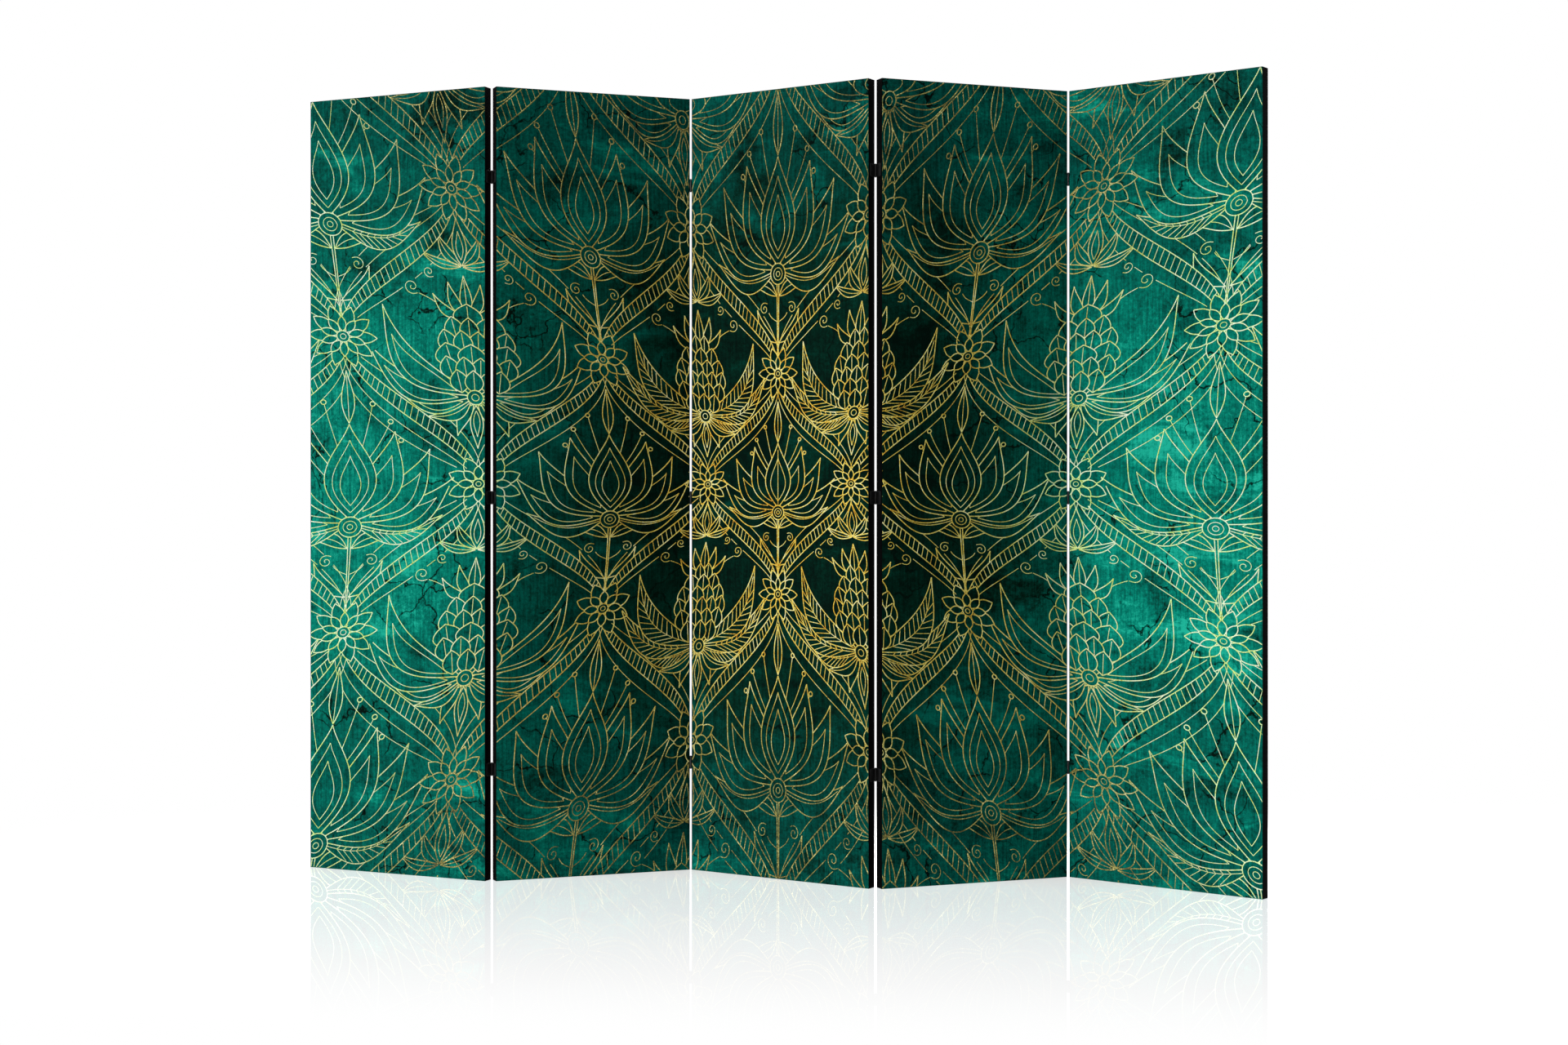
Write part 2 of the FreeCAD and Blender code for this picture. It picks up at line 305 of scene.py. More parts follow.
def about_zero(tree, vector, scale, detail, roughness=0.55):
    """Soft noise with its middle at zero."""
    return sums(tree, "SUBTRACT", clouds(tree, vector, scale, detail, roughness), 0.5)


def graded(tree, value, low, high, start=0.0, end=1.0):
    """Turns the range from low to high into one from start to end, with soft ends."""
    sockets = {"Value": value, "From Min": low, "From Max": high, "To Min": start, "To Max": end}
    return node(tree, "MapRange", sockets, interpolation_type="SMOOTHSTEP").outputs[0]


def ramp(tree, value, stops):
    """Colours along a value; each stop is a value and a screen colour's red, green and blue."""
    made = node(tree, "ValToRGB", {0: value})
    elements = made.color_ramp.elements
    while len(elements) < len(stops):
        elements.new(0.5)
    for element, (position, *colour) in zip(elements, stops):
        element.position = position
        element.color = tint(*colour)
    return made.outputs[0]


def blended(tree, factor, first, second, blend_type="MIX"):
    made = node(tree, "Mix", {0: factor, 6: first, 7: second}, data_type="RGBA", blend_type=blend_type)
    return made.outputs[2]


def wave(tree, place, pitch, direction="X", distortion=0.0, detail=2.0, detail_scale=1.0):
    """Bands one pitch apart. At scale 1 the texture makes 20 / tau bands a metre."""
    sockets = {"Vector": place, "Scale": math.tau / 20 / pitch, "Distortion": distortion}
    sockets |= {"Detail": detail, "Detail Scale": detail_scale}
    return node(tree, "TexWave", sockets, bands_direction=direction).outputs[1]


# %% [markdown]
# Canvas and lining are both plain weaves: threads that run across and threads that run up,
# each over and under the others. A picture of cloth would repeat, and blur when seen from near.
# Here a pair of wave textures gives the threads' height, and the gaps between them are a little
# darker than the cloth: painted shade, where the threads shade the gaps.

# %% Helpers for woven cloth


def woven(tree, place, pitch):
    """The height of a plain weave: threads across and threads up, one pitch apart."""
    upright, level = (wave(tree, place, pitch, way, distortion=0.4, detail=1.0) for way in ("X", "Y"))
    return sums(tree, "MAXIMUM", upright, level)


def with_painted_gap_shade(tree, colour, weave, gap_shade_share):
    """A colour with painted shade in the gaps of a weave, where it falls to a given share."""
    thread = graded(tree, weave, 0.2, 1.0, gap_shade_share, 1.0)
    shade = node(tree, "CombineColor", {0: thread, 1: thread, 2: thread}).outputs[0]
    return blended(tree, 1.0, colour, shade, "MULTIPLY")


# %% [markdown]
# ## The ground of the print
#
# The canvas is printed with a cloudy teal that is nearly black in the middle of the screen and
# bright turquoise at its two ends, like brushed plaster. All five canvases show parts of one
# print. So each canvas gets a UV map that is measured in metres on the whole print: u runs from
# its middle, v up from the floor. One material then paints all five, and nothing repeats.

# %% Measure on the print
PRINT_MIDDLE = (0, PANEL_HEIGHT / 2, 0)
MIDDLE_PANEL = 3


def on_print(tree):
    """A point's place on the print, its way from the middle, and how far aside and how far up that is."""
    place = node(tree, "UVMap", uv_map="print").outputs[0]
    from_middle = node(tree, "VectorMath", {0: place, 1: PRINT_MIDDLE}, operation="SUBTRACT").outputs[0]
    parts = node(tree, "SeparateXYZ", {0: from_middle})
    side = sums(tree, "ABSOLUTE", parts.outputs[0])
    height = sums(tree, "ABSOLUTE", parts.outputs[1])
    return place, from_middle, side, height


def oval_distance(tree, from_middle, shares):
    """How far a point is from the middle when each axis has a scale of its own."""
    return node(tree, "VectorMath", {0: stretched(tree, from_middle, shares)}, operation="LENGTH").outputs[1]


print("print:", f"{len(PANELS) * PANEL_WIDTH:.3f} x {PANEL_HEIGHT:.3f} m")

# %% [markdown]
# The marks on the ground are patterns about zero, to be added to its tone: pale and dark brush
# strokes, coarse and fine grit, streaks both ways and hair cracks. Strokes and streaks are
# noise that is stretched, and cracks are the edges between uneven cells. A picture could hold
# all this too, but noise stays sharp from near and far.

# %% Marks on the ground


def cracks(tree, place):
    """Hair cracks: the edges of uneven cells, in a few patches only."""
    push = node(tree, "TexNoise", {"Vector": place, "Scale": 16, "Detail": 6}).outputs[1]
    push = node(tree, "VectorMath", {0: push, 3: 0.09}, operation="SCALE").outputs[0]
    wandering = node(tree, "VectorMath", {0: place, 1: push}, operation="ADD").outputs[0]
    cells = node(tree, "TexVoronoi", {"Vector": wandering, "Scale": 8}, feature="DISTANCE_TO_EDGE").outputs[0]
    where = graded(tree, clouds(tree, place, 5.2, 4), 0.46, 0.56)
    return sums(tree, "MULTIPLY", graded(tree, cells, 0.0, 0.02, 1.0, 0.0), where)


def plaster_marks(tree, place):
    """All that is brushed, scratched and speckled on the ground, as one pattern about zero."""
    pale = graded(tree, clouds(tree, stretched(tree, place, (3.4, 8.5, 1)), 1.0, 9, 0.66, 0.7), 0.50, 0.72)
    dark = graded(tree, clouds(tree, stretched(tree, place, (4.6, 5.5, 1)), 1.0, 10, 0.72, 0.4), 0.50, 0.26)
    upright_streaks = about_zero(tree, stretched(tree, place, (190, 11, 1)), 1.0, 4, 0.6)
    level_streaks = about_zero(tree, stretched(tree, place, (13, 260, 1)), 1.0, 4, 0.6)
    patterns = [
        (pale, 0.40),
        (dark, -0.44),
        (about_zero(tree, place, 22, 12, 0.85), 0.9),
        (about_zero(tree, place, 120, 6, 0.9), 1.2),
        (upright_streaks, 0.62),
        (sums(tree, "MULTIPLY", level_streaks, pale), 0.55),
        (cracks(tree, place), -0.55),
    ]
    marks = 0.0
    for pattern, strength in patterns:
        marks = sums(tree, "MULTIPLY_ADD", pattern, strength, marks)
    return marks


# %% [markdown]
# The ground is built up as a painter would do it. First comes a glow, from nothing in the
# middle of the screen to full at its ends, and a little weaker at the top and bottom. Then the
# marks are added, and the sum picks the colour. At last a colder teal goes over some patches
# and over the top and bottom, and the weave is laid over all.

# %% The printed ground
WEAVE_PITCH = 0.9 * MM
GLOW_OVAL = (1, 0.92, 1)
GLOW_REACH = (0.25, 0.95)
GLOW_FADE = (0.28, 0.52, 1.0, 0.72)
DARKEST_TONE = 0.056
TONE_RANGE = 0.63
GROUND_COLOURS = [
    (0.00, 2, 20, 14),
    (0.15, 2, 42, 31),
    (0.35, 2, 72, 61),
    (0.55, 2, 102, 88),
    (0.75, 3, 132, 112),
    (1.00, 30, 176, 150),
]
COLD_TEAL = tint(0, 84, 104)


def printed_ground():
    material, tree, surface = new_material("printed_ground")
    place, from_middle, _, height = on_print(tree)
    distance = oval_distance(tree, from_middle, GLOW_OVAL)
    distance = sums(tree, "MULTIPLY_ADD", about_zero(tree, place, 2.6, 5), 0.26, distance)
    glow = sums(tree, "MULTIPLY", graded(tree, distance, *GLOW_REACH), graded(tree, height, *GLOW_FADE))
    tone = sums(tree, "MULTIPLY_ADD", glow, TONE_RANGE, DARKEST_TONE)
    contrast = sums(tree, "MULTIPLY_ADD", glow, 0.80, 0.50)
    tone = sums(tree, "MULTIPLY_ADD", plaster_marks(tree, place), contrast, tone)
    colour = ramp(tree, tone, GROUND_COLOURS)
    cold = graded(tree, clouds(tree, place, 3.4, 6, 0.6), 0.50, 0.72, 0.0, 0.4)
    cold = sums(tree, "ADD", cold, graded(tree, height, 0.40, 0.80, 0.0, 0.4))
    colour = blended(tree, cold, colour, COLD_TEAL, "SOFT_LIGHT")
    weave = woven(tree, place, WEAVE_PITCH)
    # Painted shade in the gaps between the canvas threads.
    colour = with_painted_gap_shade(tree, colour, weave, 0.92)
    roughness = graded(tree, weave, 0.0, 1.0, 0.86, 0.74)
    set_surface(tree, surface, {"Base Color": colour, "Roughness": roughness, "Specular IOR Level": 0.02})
    bump(tree, surface, weave, 0.05 * MM, 0.5)
    return material


ground = printed_ground()
print("printed ground:", len(ground.node_tree.nodes), "nodes")

# %% [markdown]
# ## The stretched cloths
#
# A canvas like this is a sheet stapled over a frame: flat on the face, with a small round fold
# where it turns over the edge. A simulation could drape it, but a cloth that is stretched tight
# has no folds to find. So it starts as a grid. The side and top edges are extruded backwards,
# the folds are bevelled, and a Solidify modifier gives the cloth its thickness.

# %% Helpers for a stretched cloth
CLOTH_THICKNESS = 0.5 * MM
FOLD_RADIUS = 0.9 * MM
FOLD_SEGMENTS = 3
CLOTH_COLUMNS = 10
CLOTH_ROWS = 40
SMOOTH_CLOTH = math.radians(40)
TOUCH = 0.01 * MM


def print_map(piece, place_across):
    """A UV map in metres on the whole print, for a piece that is still in its panel's frame."""
    layer = piece.data.uv_layers.get("print") or piece.data.uv_layers.new(name="print")
    for loop in piece.data.loops:
        point = piece.data.vertices[loop.vertex_index].co
        layer.data[loop.index].uv = (point.x + place_across, point.z)
    piece.data.uv_layers.active = layer


def stretched_cloth(name, width, height, depth):
    """A cloth with its face at -y, turned back by depth over both sides and the top."""
    bpy.ops.mesh.primitive_grid_add(
        x_subdivisions=CLOTH_COLUMNS, y_subdivisions=CLOTH_ROWS, size=1, rotation=(math.radians(90), 0, 0)
    )
    cloth = bpy.context.object
    cloth.name = name
    cloth.scale = (width, height, 1)
    cloth.location = (0, -PANEL_THICKNESS / 2, height / 2)
    settle(cloth)

    def at_fold(edge):
        ends = [vertex.co for vertex in edge.verts]
        sides = all(abs(end.x) > width / 2 - TOUCH for end in ends)
        top = all(end.z > height - TOUCH for end in ends)
        return sides or top

    edit(cloth, "EDGE", at_fold)
    bpy.ops.mesh.extrude_edges_move(TRANSFORM_OT_translate={"value": (0, depth, 0)})
    leave_edit()
    face = -PANEL_THICKNESS / 2 + TOUCH
    edit(cloth, "EDGE", lambda edge: at_fold(edge) and all(vertex.co.y < face for vertex in edge.verts))
    bpy.ops.mesh.bevel(offset=FOLD_RADIUS, offset_type="OFFSET", segments=FOLD_SEGMENTS)
    bpy.ops.mesh.select_all(action="SELECT")
    bpy.ops.mesh.normals_make_consistent(inside=False)
    leave_edit()
    apply_modifier(cloth, "SOLIDIFY", thickness=CLOTH_THICKNESS, offset=-1)
    bpy.ops.object.shade_smooth_by_angle(angle=SMOOTH_CLOTH)
    return cloth


# %% [markdown]
# Each panel has a canvas in front and a lining behind, which is the same piece, turned round.
# Both take their outer size from the model.

# %% Stretch a cloth over each face
HALF_TURN = Matrix.Rotation(math.pi, 4, "Z")
canvases = {}
linings = {}
for number, place in places.items():
    low, high = own_box(f"panel_{number}_printed_canvas", place)
    width, depth, height = high - low
    canvases[number] = stretched_cloth(f"canvas_{number}", width, height, depth)
    linings[number] = stretched_cloth(f"lining_{number}", width, height, depth)
    for cloth, turn in ((canvases[number], Matrix()), (linings[number], HALF_TURN)):
        print_map(cloth, (number - MIDDLE_PANEL) * PANEL_WIDTH)
        settle(cloth, place @ turn)
for number, canvas in canvases.items():
    wear(canvas, ground, f"panel_{number}", "printed_canvas", f"panel_{number}_printed_canvas")

# %% [markdown]
# The lining is plain off-white linen. Linen yarn has slubs, which are short thick stretches, so
# besides the weave there are fine streaks across and upwards. They lighten the cloth a little
# and lift it in the bump. The pattern reads the UV map, so the threads stay square to a panel
# however it is turned.

# %% Linen for the backs
LINING_THREAD = 0.7 * MM
LINEN_COLOURS = [(0.3, 206, 203, 194), (0.5, 224, 222, 214), (0.7, 233, 232, 226)]
SLUB_LENGTHS = ((90, 1400, 1), (1400, 90, 1))


def lining_cloth():
    material, tree, surface = new_material("lining_cloth")
    place = node(tree, "UVMap", uv_map="print").outputs[0]
    weave = woven(tree, place, LINING_THREAD)
    across, upwards = (clouds(tree, stretched(tree, place, shares), 1.0, 3) for shares in SLUB_LENGTHS)
    slubs = sums(tree, "ADD", across, upwards)
    drift = clouds(tree, place, 3.0, 3)
    shade = sums(tree, "MULTIPLY_ADD", slubs, 0.42, sums(tree, "MULTIPLY", drift, 0.16))
    # Painted shade in the gaps between the linen threads.
    colour = with_painted_gap_shade(tree, ramp(tree, shade, LINEN_COLOURS), weave, 0.90)
    set_surface(tree, surface, {"Base Color": colour, "Roughness": 0.86, "Specular IOR Level": 0.2})
    bump(tree, surface, sums(tree, "MULTIPLY_ADD", slubs, 0.5, weave), 0.12 * MM, 0.8)
    return material


plain_lining = lining_cloth()
for number, lining in linings.items():
    wear(lining, plain_lining, f"panel_{number}", "lining", f"panel_{number}_back_lining")
print("linings:", len(linings))

# %% [markdown]
# ## The black edge tape
#
# One strip of black tape hides the staples. It is glued up one side, over the top and down the
# other side. The tape is dull and finely ribbed, with some fluff and a few paler, rubbed
# patches, and so nearly black that only its shape shows from the front.

# %% Tape finish
RIB_PITCH = 1.1 * MM
TAPE_COLOURS = [(0.05, 2, 2, 2), (0.5, 4, 4, 5), (0.9, 12, 12, 13)]


def black_tape():
    material, tree, surface = new_material("black_tape")
    place = node(tree, "TexCoord").outputs["Object"]
    ribs = wave(tree, place, RIB_PITCH, "Z", distortion=0.3)
    fluff = clouds(tree, place, 900, 2)
    wear_marks = graded(tree, clouds(tree, place, 14, 5), 0.5, 0.75)
    shade = sums(tree, "MULTIPLY_ADD", fluff, 0.25, sums(tree, "MULTIPLY", wear_marks, 0.4))
    colour = ramp(tree, shade, TAPE_COLOURS)
    set_surface(tree, surface, {"Base Color": colour, "Roughness": 0.8, "Specular IOR Level": 0.03})
    bump(tree, surface, sums(tree, "MULTIPLY_ADD", fluff, 0.4, ribs), 0.05 * MM, 0.6)
    return material


tape_finish = black_tape()
print("tape finish:", len(tape_finish.node_tree.nodes), "nodes")

# %% [markdown]
# Three boxes could stand for the tape, but they would meet in sharp corners. Tape is folded
# over, so here it is one plane for the first side. Its top edge is extruded across, and that
# strip's end is extruded down again. Then the two corners are rounded and the strip gets its
# thickness.

# %% Glue the tape round each panel
TAPE_THICKNESS = 0.3 * MM
TAPE_CORNER = 0.8 * MM


def strip_round_panel(width, depth, height):
    """A strip up the left side, over the top and down the right side, from outside to outside."""
    bpy.ops.mesh.primitive_plane_add(size=1, rotation=(0, math.radians(-90), 0))
    strip = bpy.context.object
    strip.scale = (height, depth, 1)
    strip.location = (-width / 2, 0, height / 2)
    settle(strip)
    edit(strip, "EDGE", lambda edge: all(end.co.z > height - TOUCH for end in edge.verts))
    bpy.ops.mesh.extrude_edges_move(TRANSFORM_OT_translate={"value": (width, 0, 0)})
    bpy.ops.mesh.extrude_edges_move(TRANSFORM_OT_translate={"value": (0, 0, -height)})
    leave_edit()
    edit(strip, "EDGE", lambda edge: len(edge.link_faces) == 2)
    bpy.ops.mesh.bevel(offset=TAPE_CORNER, offset_type="OFFSET", segments=FOLD_SEGMENTS)
    bpy.ops.mesh.select_all(action="SELECT")
    bpy.ops.mesh.normals_make_consistent(inside=False)
    leave_edit()
    apply_modifier(strip, "SOLIDIFY", thickness=TAPE_THICKNESS, offset=-1)
    bpy.ops.object.shade_smooth_by_angle(angle=SMOOTH_CLOTH)
    return strip


for number, place in places.items():
    low, high = own_box(f"panel_{number}_edge_tape", place)
    tape = strip_round_panel(*(high - low))
    tape.name = f"tape_{number}"
    settle(tape, place)
    wear(tape, tape_finish, f"panel_{number}", "edge_tape", f"panel_{number}_edge_tape")

# %% [markdown]
# ## A pen for the gold lines
#
# The gold drawing lies on the canvas like a thin raised ink. A stroke is a row of points in
# millimetres, measured from the middle of the whole print. A Blender curve runs smoothly along
# the points, and its bevel makes it a slim four-sided bar. Flattened, it is a line with a low
# ridge that catches the light. Real meshes stay crisp at any distance, which a painted pattern
# doesn't.

# %% Strokes
Stroke = namedtuple("Stroke", "points fine", defaults=(False,))
Shape = namedtuple("Shape", "outline strokes")


def polar(radius, angle, centre=(0, 0)):
    return Vector(centre) + Vector((math.cos(angle), math.sin(angle))) * radius


def side_of(base, tip):
    """The direction square to a run, on its left."""
    run = Vector(tip) - Vector(base)
    return Vector((-run.y, run.x)).normalized()


def on_bow(start, end, bend, share):
    """The point at a share of the way along a bow that bends to the left by bend."""
    return Vector(start).lerp(Vector(end), share) + side_of(start, end) * bend * math.sin(math.pi * share)


def bow(start, end, bend=0.0, steps=8, fine=False):
    return Stroke([on_bow(start, end, bend, step / steps) for step in range(steps + 1)], fine)


def moved(strokes, to=(0, 0), flip=(1, 1)):
    place = Vector(to)
    mirror = Vector(flip)
    return [stroke._replace(points=[point * mirror + place for point in stroke.points]) for stroke in strokes]


# %% [markdown]
# ## Shapes in front of each other
#
# A drawn flower looks right when its front petals hide the ones behind. So a shape is some
# strokes and a closed outline. These helpers move and mirror shapes, and tell whether a point
# lies in an outline.

# %% Shapes and outlines


def moved_shape(shape, **change):
    outline = moved([Stroke(shape.outline)], **change)[0].points
    return Shape(outline, moved(shape.strokes, **change))


def both_sides(shapes):
    """Each shape and, just behind it, its mirror image."""
    return [twin for shape in shapes for twin in (shape, moved_shape(shape, flip=(-1, 1)))]


def inside(point, outline):
    """Whether a point lies in a closed outline: a line to its right crosses it an odd number of times."""
    odd = False
    for first, second in zip(outline, outline[1:] + outline[:1]):
        if (first.y > point.y) != (second.y > point.y):
            share = (point.y - first.y) / (second.y - first.y)
            if point.x < first.x + (second.x - first.x) * share:
                odd = not odd
    return odd


def apart(points, outline):
    """Whether the boxes round two rows of points are clear of each other."""
    for axis in (0, 1):
        first = [point[axis] for point in points]
        second = [point[axis] for point in outline]
        if max(first) < min(second) or max(second) < min(first):
            return True
    return False


# %% [markdown]
# The shapes of a motif are listed from front to back, and each stroke loses what falls inside
# an outline that is in front of it. Where a stroke runs under an outline, the crossing is found
# by halving the step, so lines end exactly on the edge.

# %% Hide what lies behind


def last_shown(shown, hidden, outline):
    """The place between a shown and a hidden point where the outline runs."""
    for _ in range(8):
        middle = (shown + hidden) / 2
        if inside(middle, outline):
            hidden = middle
        else:
            shown = middle
    return shown


def uncovered(stroke, outline):
    """The parts of a stroke that lie outside an outline."""
    points = stroke.points
    if apart(points, outline):
        return [stroke]
    hidden = [inside(point, outline) for point in points]
    parts, run = [], []
    for number, point in enumerate(points):
        if number and hidden[number] and not hidden[number - 1]:
            parts.append(run + [last_shown(points[number - 1], point, outline)])
            run = []
        if number and hidden[number - 1] and not hidden[number]:
            run = [last_shown(point, points[number - 1], outline)]
        if not hidden[number]:
            run.append(point)
    parts.append(run)
    return [stroke._replace(points=part) for part in parts if len(part) > 1]


def layered(shapes):
    """The strokes that still show when the first shape lies in front of all others."""
    strokes, fronts = [], []
    for shape in shapes:
        shown = shape.strokes
        for outline in fronts:
            shown = [part for stroke in shown for part in uncovered(stroke, outline)]
        strokes += shown
        if shape.outline:
            fronts.append(shape.outline)
    return strokes


square = Shape([Vector(corner) for corner in ((-1, -1), (1, -1), (1, 1), (-1, 1))], [])
line = Shape([], [bow((-3, 0), (3, 0))])
print("a line behind a square shows as", len(layered([square, line])), "parts")

# %% [markdown]
# ## Leaves, curls and balls
#
# Almost everything is a leaf: a middle line that bends, and a width that swells and dies away
# along it. Smaller copies inside it give petals with echoing lines, and a rib with slanting
# veins gives a green leaf. One formula draws them all, so they look like one hand's work.

# %% A leaf or a petal
LEAF_STEP = 7
ECHO_FOOT = 0.25
ECHO_TIP = 0.55
RIB_SHARE = 0.9
VEIN_FOOT = 0.16
VEIN_SPAN = 0.60
VEIN_RISE = 0.11


def swell(share, fullness=0.8, point=1.25):
    """How wide a leaf is along its length: fullest near its foot, and pointed."""
    return math.sin(math.pi * min(1.0, share) ** fullness) ** point


def margin(base, tip, bend, half_width, low=0.0, high=1.0, **form):
    """One side of a leaf, or of an echo that goes from low to high along it."""
    side = side_of(base, tip)
    steps = max(6, min(20, round((Vector(tip) - Vector(base)).length * (high - low) / LEAF_STEP)))
    points = []
    for step in range(steps + 1):
        own = step / steps
        rib_point = on_bow(base, tip, bend, low + (high - low) * own)
        points.append(rib_point + side * half_width * swell(own, **form))
    return points


def leaf(base, tip, width, bend=0.0, echoes=(), rib=False, veins=0, **form):
    """A pointed leaf with smaller outlines, a rib or slanting veins inside."""
    left = margin(base, tip, bend, width / 2, **form)
    right = margin(base, tip, bend, -width / 2, **form)
    strokes = [Stroke(left), Stroke(right)]
    for echo in echoes:
        low, high = ECHO_FOOT * (1 - echo), 1 - ECHO_TIP * (1 - echo)
        for way in (1, -1):
            strokes.append(Stroke(margin(base, tip, bend, way * width / 2 * echo, low, high, **form), True))
    if rib or veins:
        strokes.append(Stroke([on_bow(base, tip, bend, RIB_SHARE * step / 8) for step in range(9)], True))
    for number in range(veins):
        start = VEIN_FOOT + VEIN_SPAN * number / veins
        end = start + VEIN_RISE
        reach = side_of(base, tip) * width / 2 * RIB_SHARE * swell(end, **form)
        for way in (1, -1):
            vein_tip = on_bow(base, tip, bend, end) + reach * way
            strokes.append(Stroke([on_bow(base, tip, bend, start), vein_tip], True))
    return Shape(left + right[::-1], strokes)


petal = leaf((0, 0), (0, 100), 40, echoes=(0.6,), rib=True)
print("a petal with an echo and a rib has", len(petal.strokes), "strokes")

# %% [markdown]
# Curls are spirals that wind inwards, and balls are rings inside each other. Small leaves in a
# ring make a flower.

# %% Balls, curls and rings of petals
RING_STEPS = 12


def disc(centre, radius):
    """The points of a ring, more of them where it is larger."""
    steps = max(RING_STEPS, min(18, round(radius)))
    return [polar(radius, math.tau * step / steps, centre) for step in range(steps)]


def ball(centre, *radii):
    """Rings round one point, the largest first."""
    rings = []
    for number, radius in enumerate(radii):
        points = disc(centre, radius)
        rings.append(Stroke(points + points[:1], number > 0))
    return Shape(disc(centre, radii[0]), rings)


def curl(centre, radius, turns=1.5, start=0.0, way=1):
    """A spiral that winds in to its centre and hides what is behind it."""
    steps = round(turns * RING_STEPS)
    points = []
    for step in range(steps + 1):
        angle = math.radians(start) + way * step / RING_STEPS * math.tau
        points.append(polar(radius * (1 - step / (steps + 2)), angle, centre))
    return Shape(disc(centre, radius + 2), [Stroke(points, True)])


def petals(count, inner, outer, turn=0.0):
    """A ring of small petals about the origin."""
    width = (inner + outer) * math.sin(math.pi / count) * 0.95
    shapes = []
    for number in range(count):
        angle = math.tau * number / count + math.radians(turn)
        shapes.append(leaf(polar(inner, angle), polar(outer, angle), width, fullness=1.0, point=0.8))
    return shapes


print("a ball with a ring inside has", len(ball((0, 0), 10, 5).strokes), "strokes")

# %% [markdown]
# ## Garlands
#
# The layout is an old textile one: pointed cells, called ogees, in rows that are set off by
# half a cell. A cell's edge is one wave of a cosine. Along each quarter of it runs a hatched
# band that swells between two flowers, and finer lines part from it and meet it again.

# %% The edges of a cell
CELL_WIDTH = 450
CELL_HEIGHT = 573
BAND_SWELL = 12
BAND_STEPS = 24
RUNGS = {1: 36, 2: 36, 3: 34}
RUNG_SLANT = 0.9
SHEAVES = {1: (32, 54), 2: (34,), 3: (30,)}


def beside_edge(share, offset=0.0):
    """A point at a share of an edge's upper right quarter, moved outwards by offset."""
    turn = math.pi * share
    slope = -math.pi / 2 * CELL_WIDTH / CELL_HEIGHT * math.sin(turn)
    outward = Vector((1, -slope)).normalized()
    return Vector((CELL_WIDTH / 4 * (1 + math.cos(turn)), CELL_HEIGHT / 2 * share)) + outward * offset


def along_edge(most):
    """A line beside the edge that swells away from it and comes back."""
    shares = [step / BAND_STEPS for step in range(BAND_STEPS + 1)]
    return [beside_edge(share, most * math.sin(math.pi * share)) for share in shares]


def garland(level):
    outer, inner = along_edge(BAND_SWELL), along_edge(-BAND_SWELL)
    strokes = [Stroke(outer), Stroke(inner)]
    for rung in range(4, RUNGS[level] - 3):
        share, later = rung / RUNGS[level], (rung + RUNG_SLANT) / RUNGS[level]
        first = beside_edge(share, -BAND_SWELL * math.sin(math.pi * share))
        second = beside_edge(later, BAND_SWELL * math.sin(math.pi * later))
        strokes.append(Stroke([first, second], True))
    return Shape(outer + inner[::-1], strokes)


def sheaf(level):
    """The finer lines inside a cell, beside its garland."""
    return Shape([], [Stroke(along_edge(-most), True) for most in SHEAVES[level]])


def on_four_sides(shape):
    return [moved_shape(shape, flip=flip) for flip in ((1, 1), (-1, 1), (1, -1), (-1, -1))]


print(f"cell: {CELL_WIDTH} x {CELL_HEIGHT} mm")

# %% [markdown]
# ## Lotus, scaly fruit and flowers
#
# The drawing is dense in the middle of the screen and opens towards its ends. So each motif
# has three levels: 3 in the middle, with veins and many scales, 2 round it, and 1 further
# out, with wide petals and lines that echo each other. Only the right half is described, in
# millimetres from the middle of its cell. The lotus comes first: a tall petal in front, four
# pairs behind it, stamens above and a leafy stem below.

# %% Lotus


def lotus(level):
    """Petals behind petals, with a leafy stem below and stamens above."""
    front_echoes = {1: (0.7, 0.4), 2: (0.7, 0.4), 3: (0.6,)}[level]
    inside_petal = {"echoes": {1: (0.55,), 2: (0.6,), 3: (0.5,)}[level]}
    front = leaf((0, -70), (0, 118), 88, echoes=front_echoes, rib=level == 3)
    sides = [
        leaf((8, -72), (78, 106), 68, -16, **inside_petal),
        leaf((12, -76), (138, 72), 64, -26, **inside_petal),
        leaf((14, -80), (180, 14), 56, -30, **inside_petal),
        leaf((12, -84), (160, -64), 42, -26, veins=8 if level == 1 else 0, rib=level > 1),
    ]
    stamens = [leaf((0, 120), (0, 222), 22, rib=True)]
    for lean in (-39, -26, -13, 13, 26, 39):
        tip = polar(206 - abs(lean) * 1.7, math.radians(90 - lean), (0, -20))
        root = polar(60, math.radians(90 - lean * 0.8), (0, -20))
        stamens += [ball(tip, 4.5), Shape([], [bow(root, tip, -lean * 0.12, fine=True)])]
    stem = Shape([], [bow((-2.5, -100), (-1, -250), steps=3), bow((2.5, -100), (1, -250), steps=3)])
    low = [
        leaf((3, -126), (70, -106), 24, 10, rib=True),
        curl((38, -150), 13, 1.5, 130, -1),
        Shape([], [bow((3, -176), (31, -139), -8, fine=True)]),
        leaf((3, -220), (58, -152), 20, -12),
    ]
    return [ball((0, -84), 20, 12, 5), front] + both_sides(sides) + stamens + both_sides(low) + [stem]


print("lotus shapes:", {level: len(lotus(level)) for level in RUNGS})

# %% [markdown]
# The fruit is a cone of scales between long curved leaves. The rows have odd and even numbers
# of scales in turn, so that the scales sit over the gaps. The middle ones of a row lie in front
# of the outer ones, and a lower row lies in front of a higher one.

# %% Scaly fruit and crossing flower


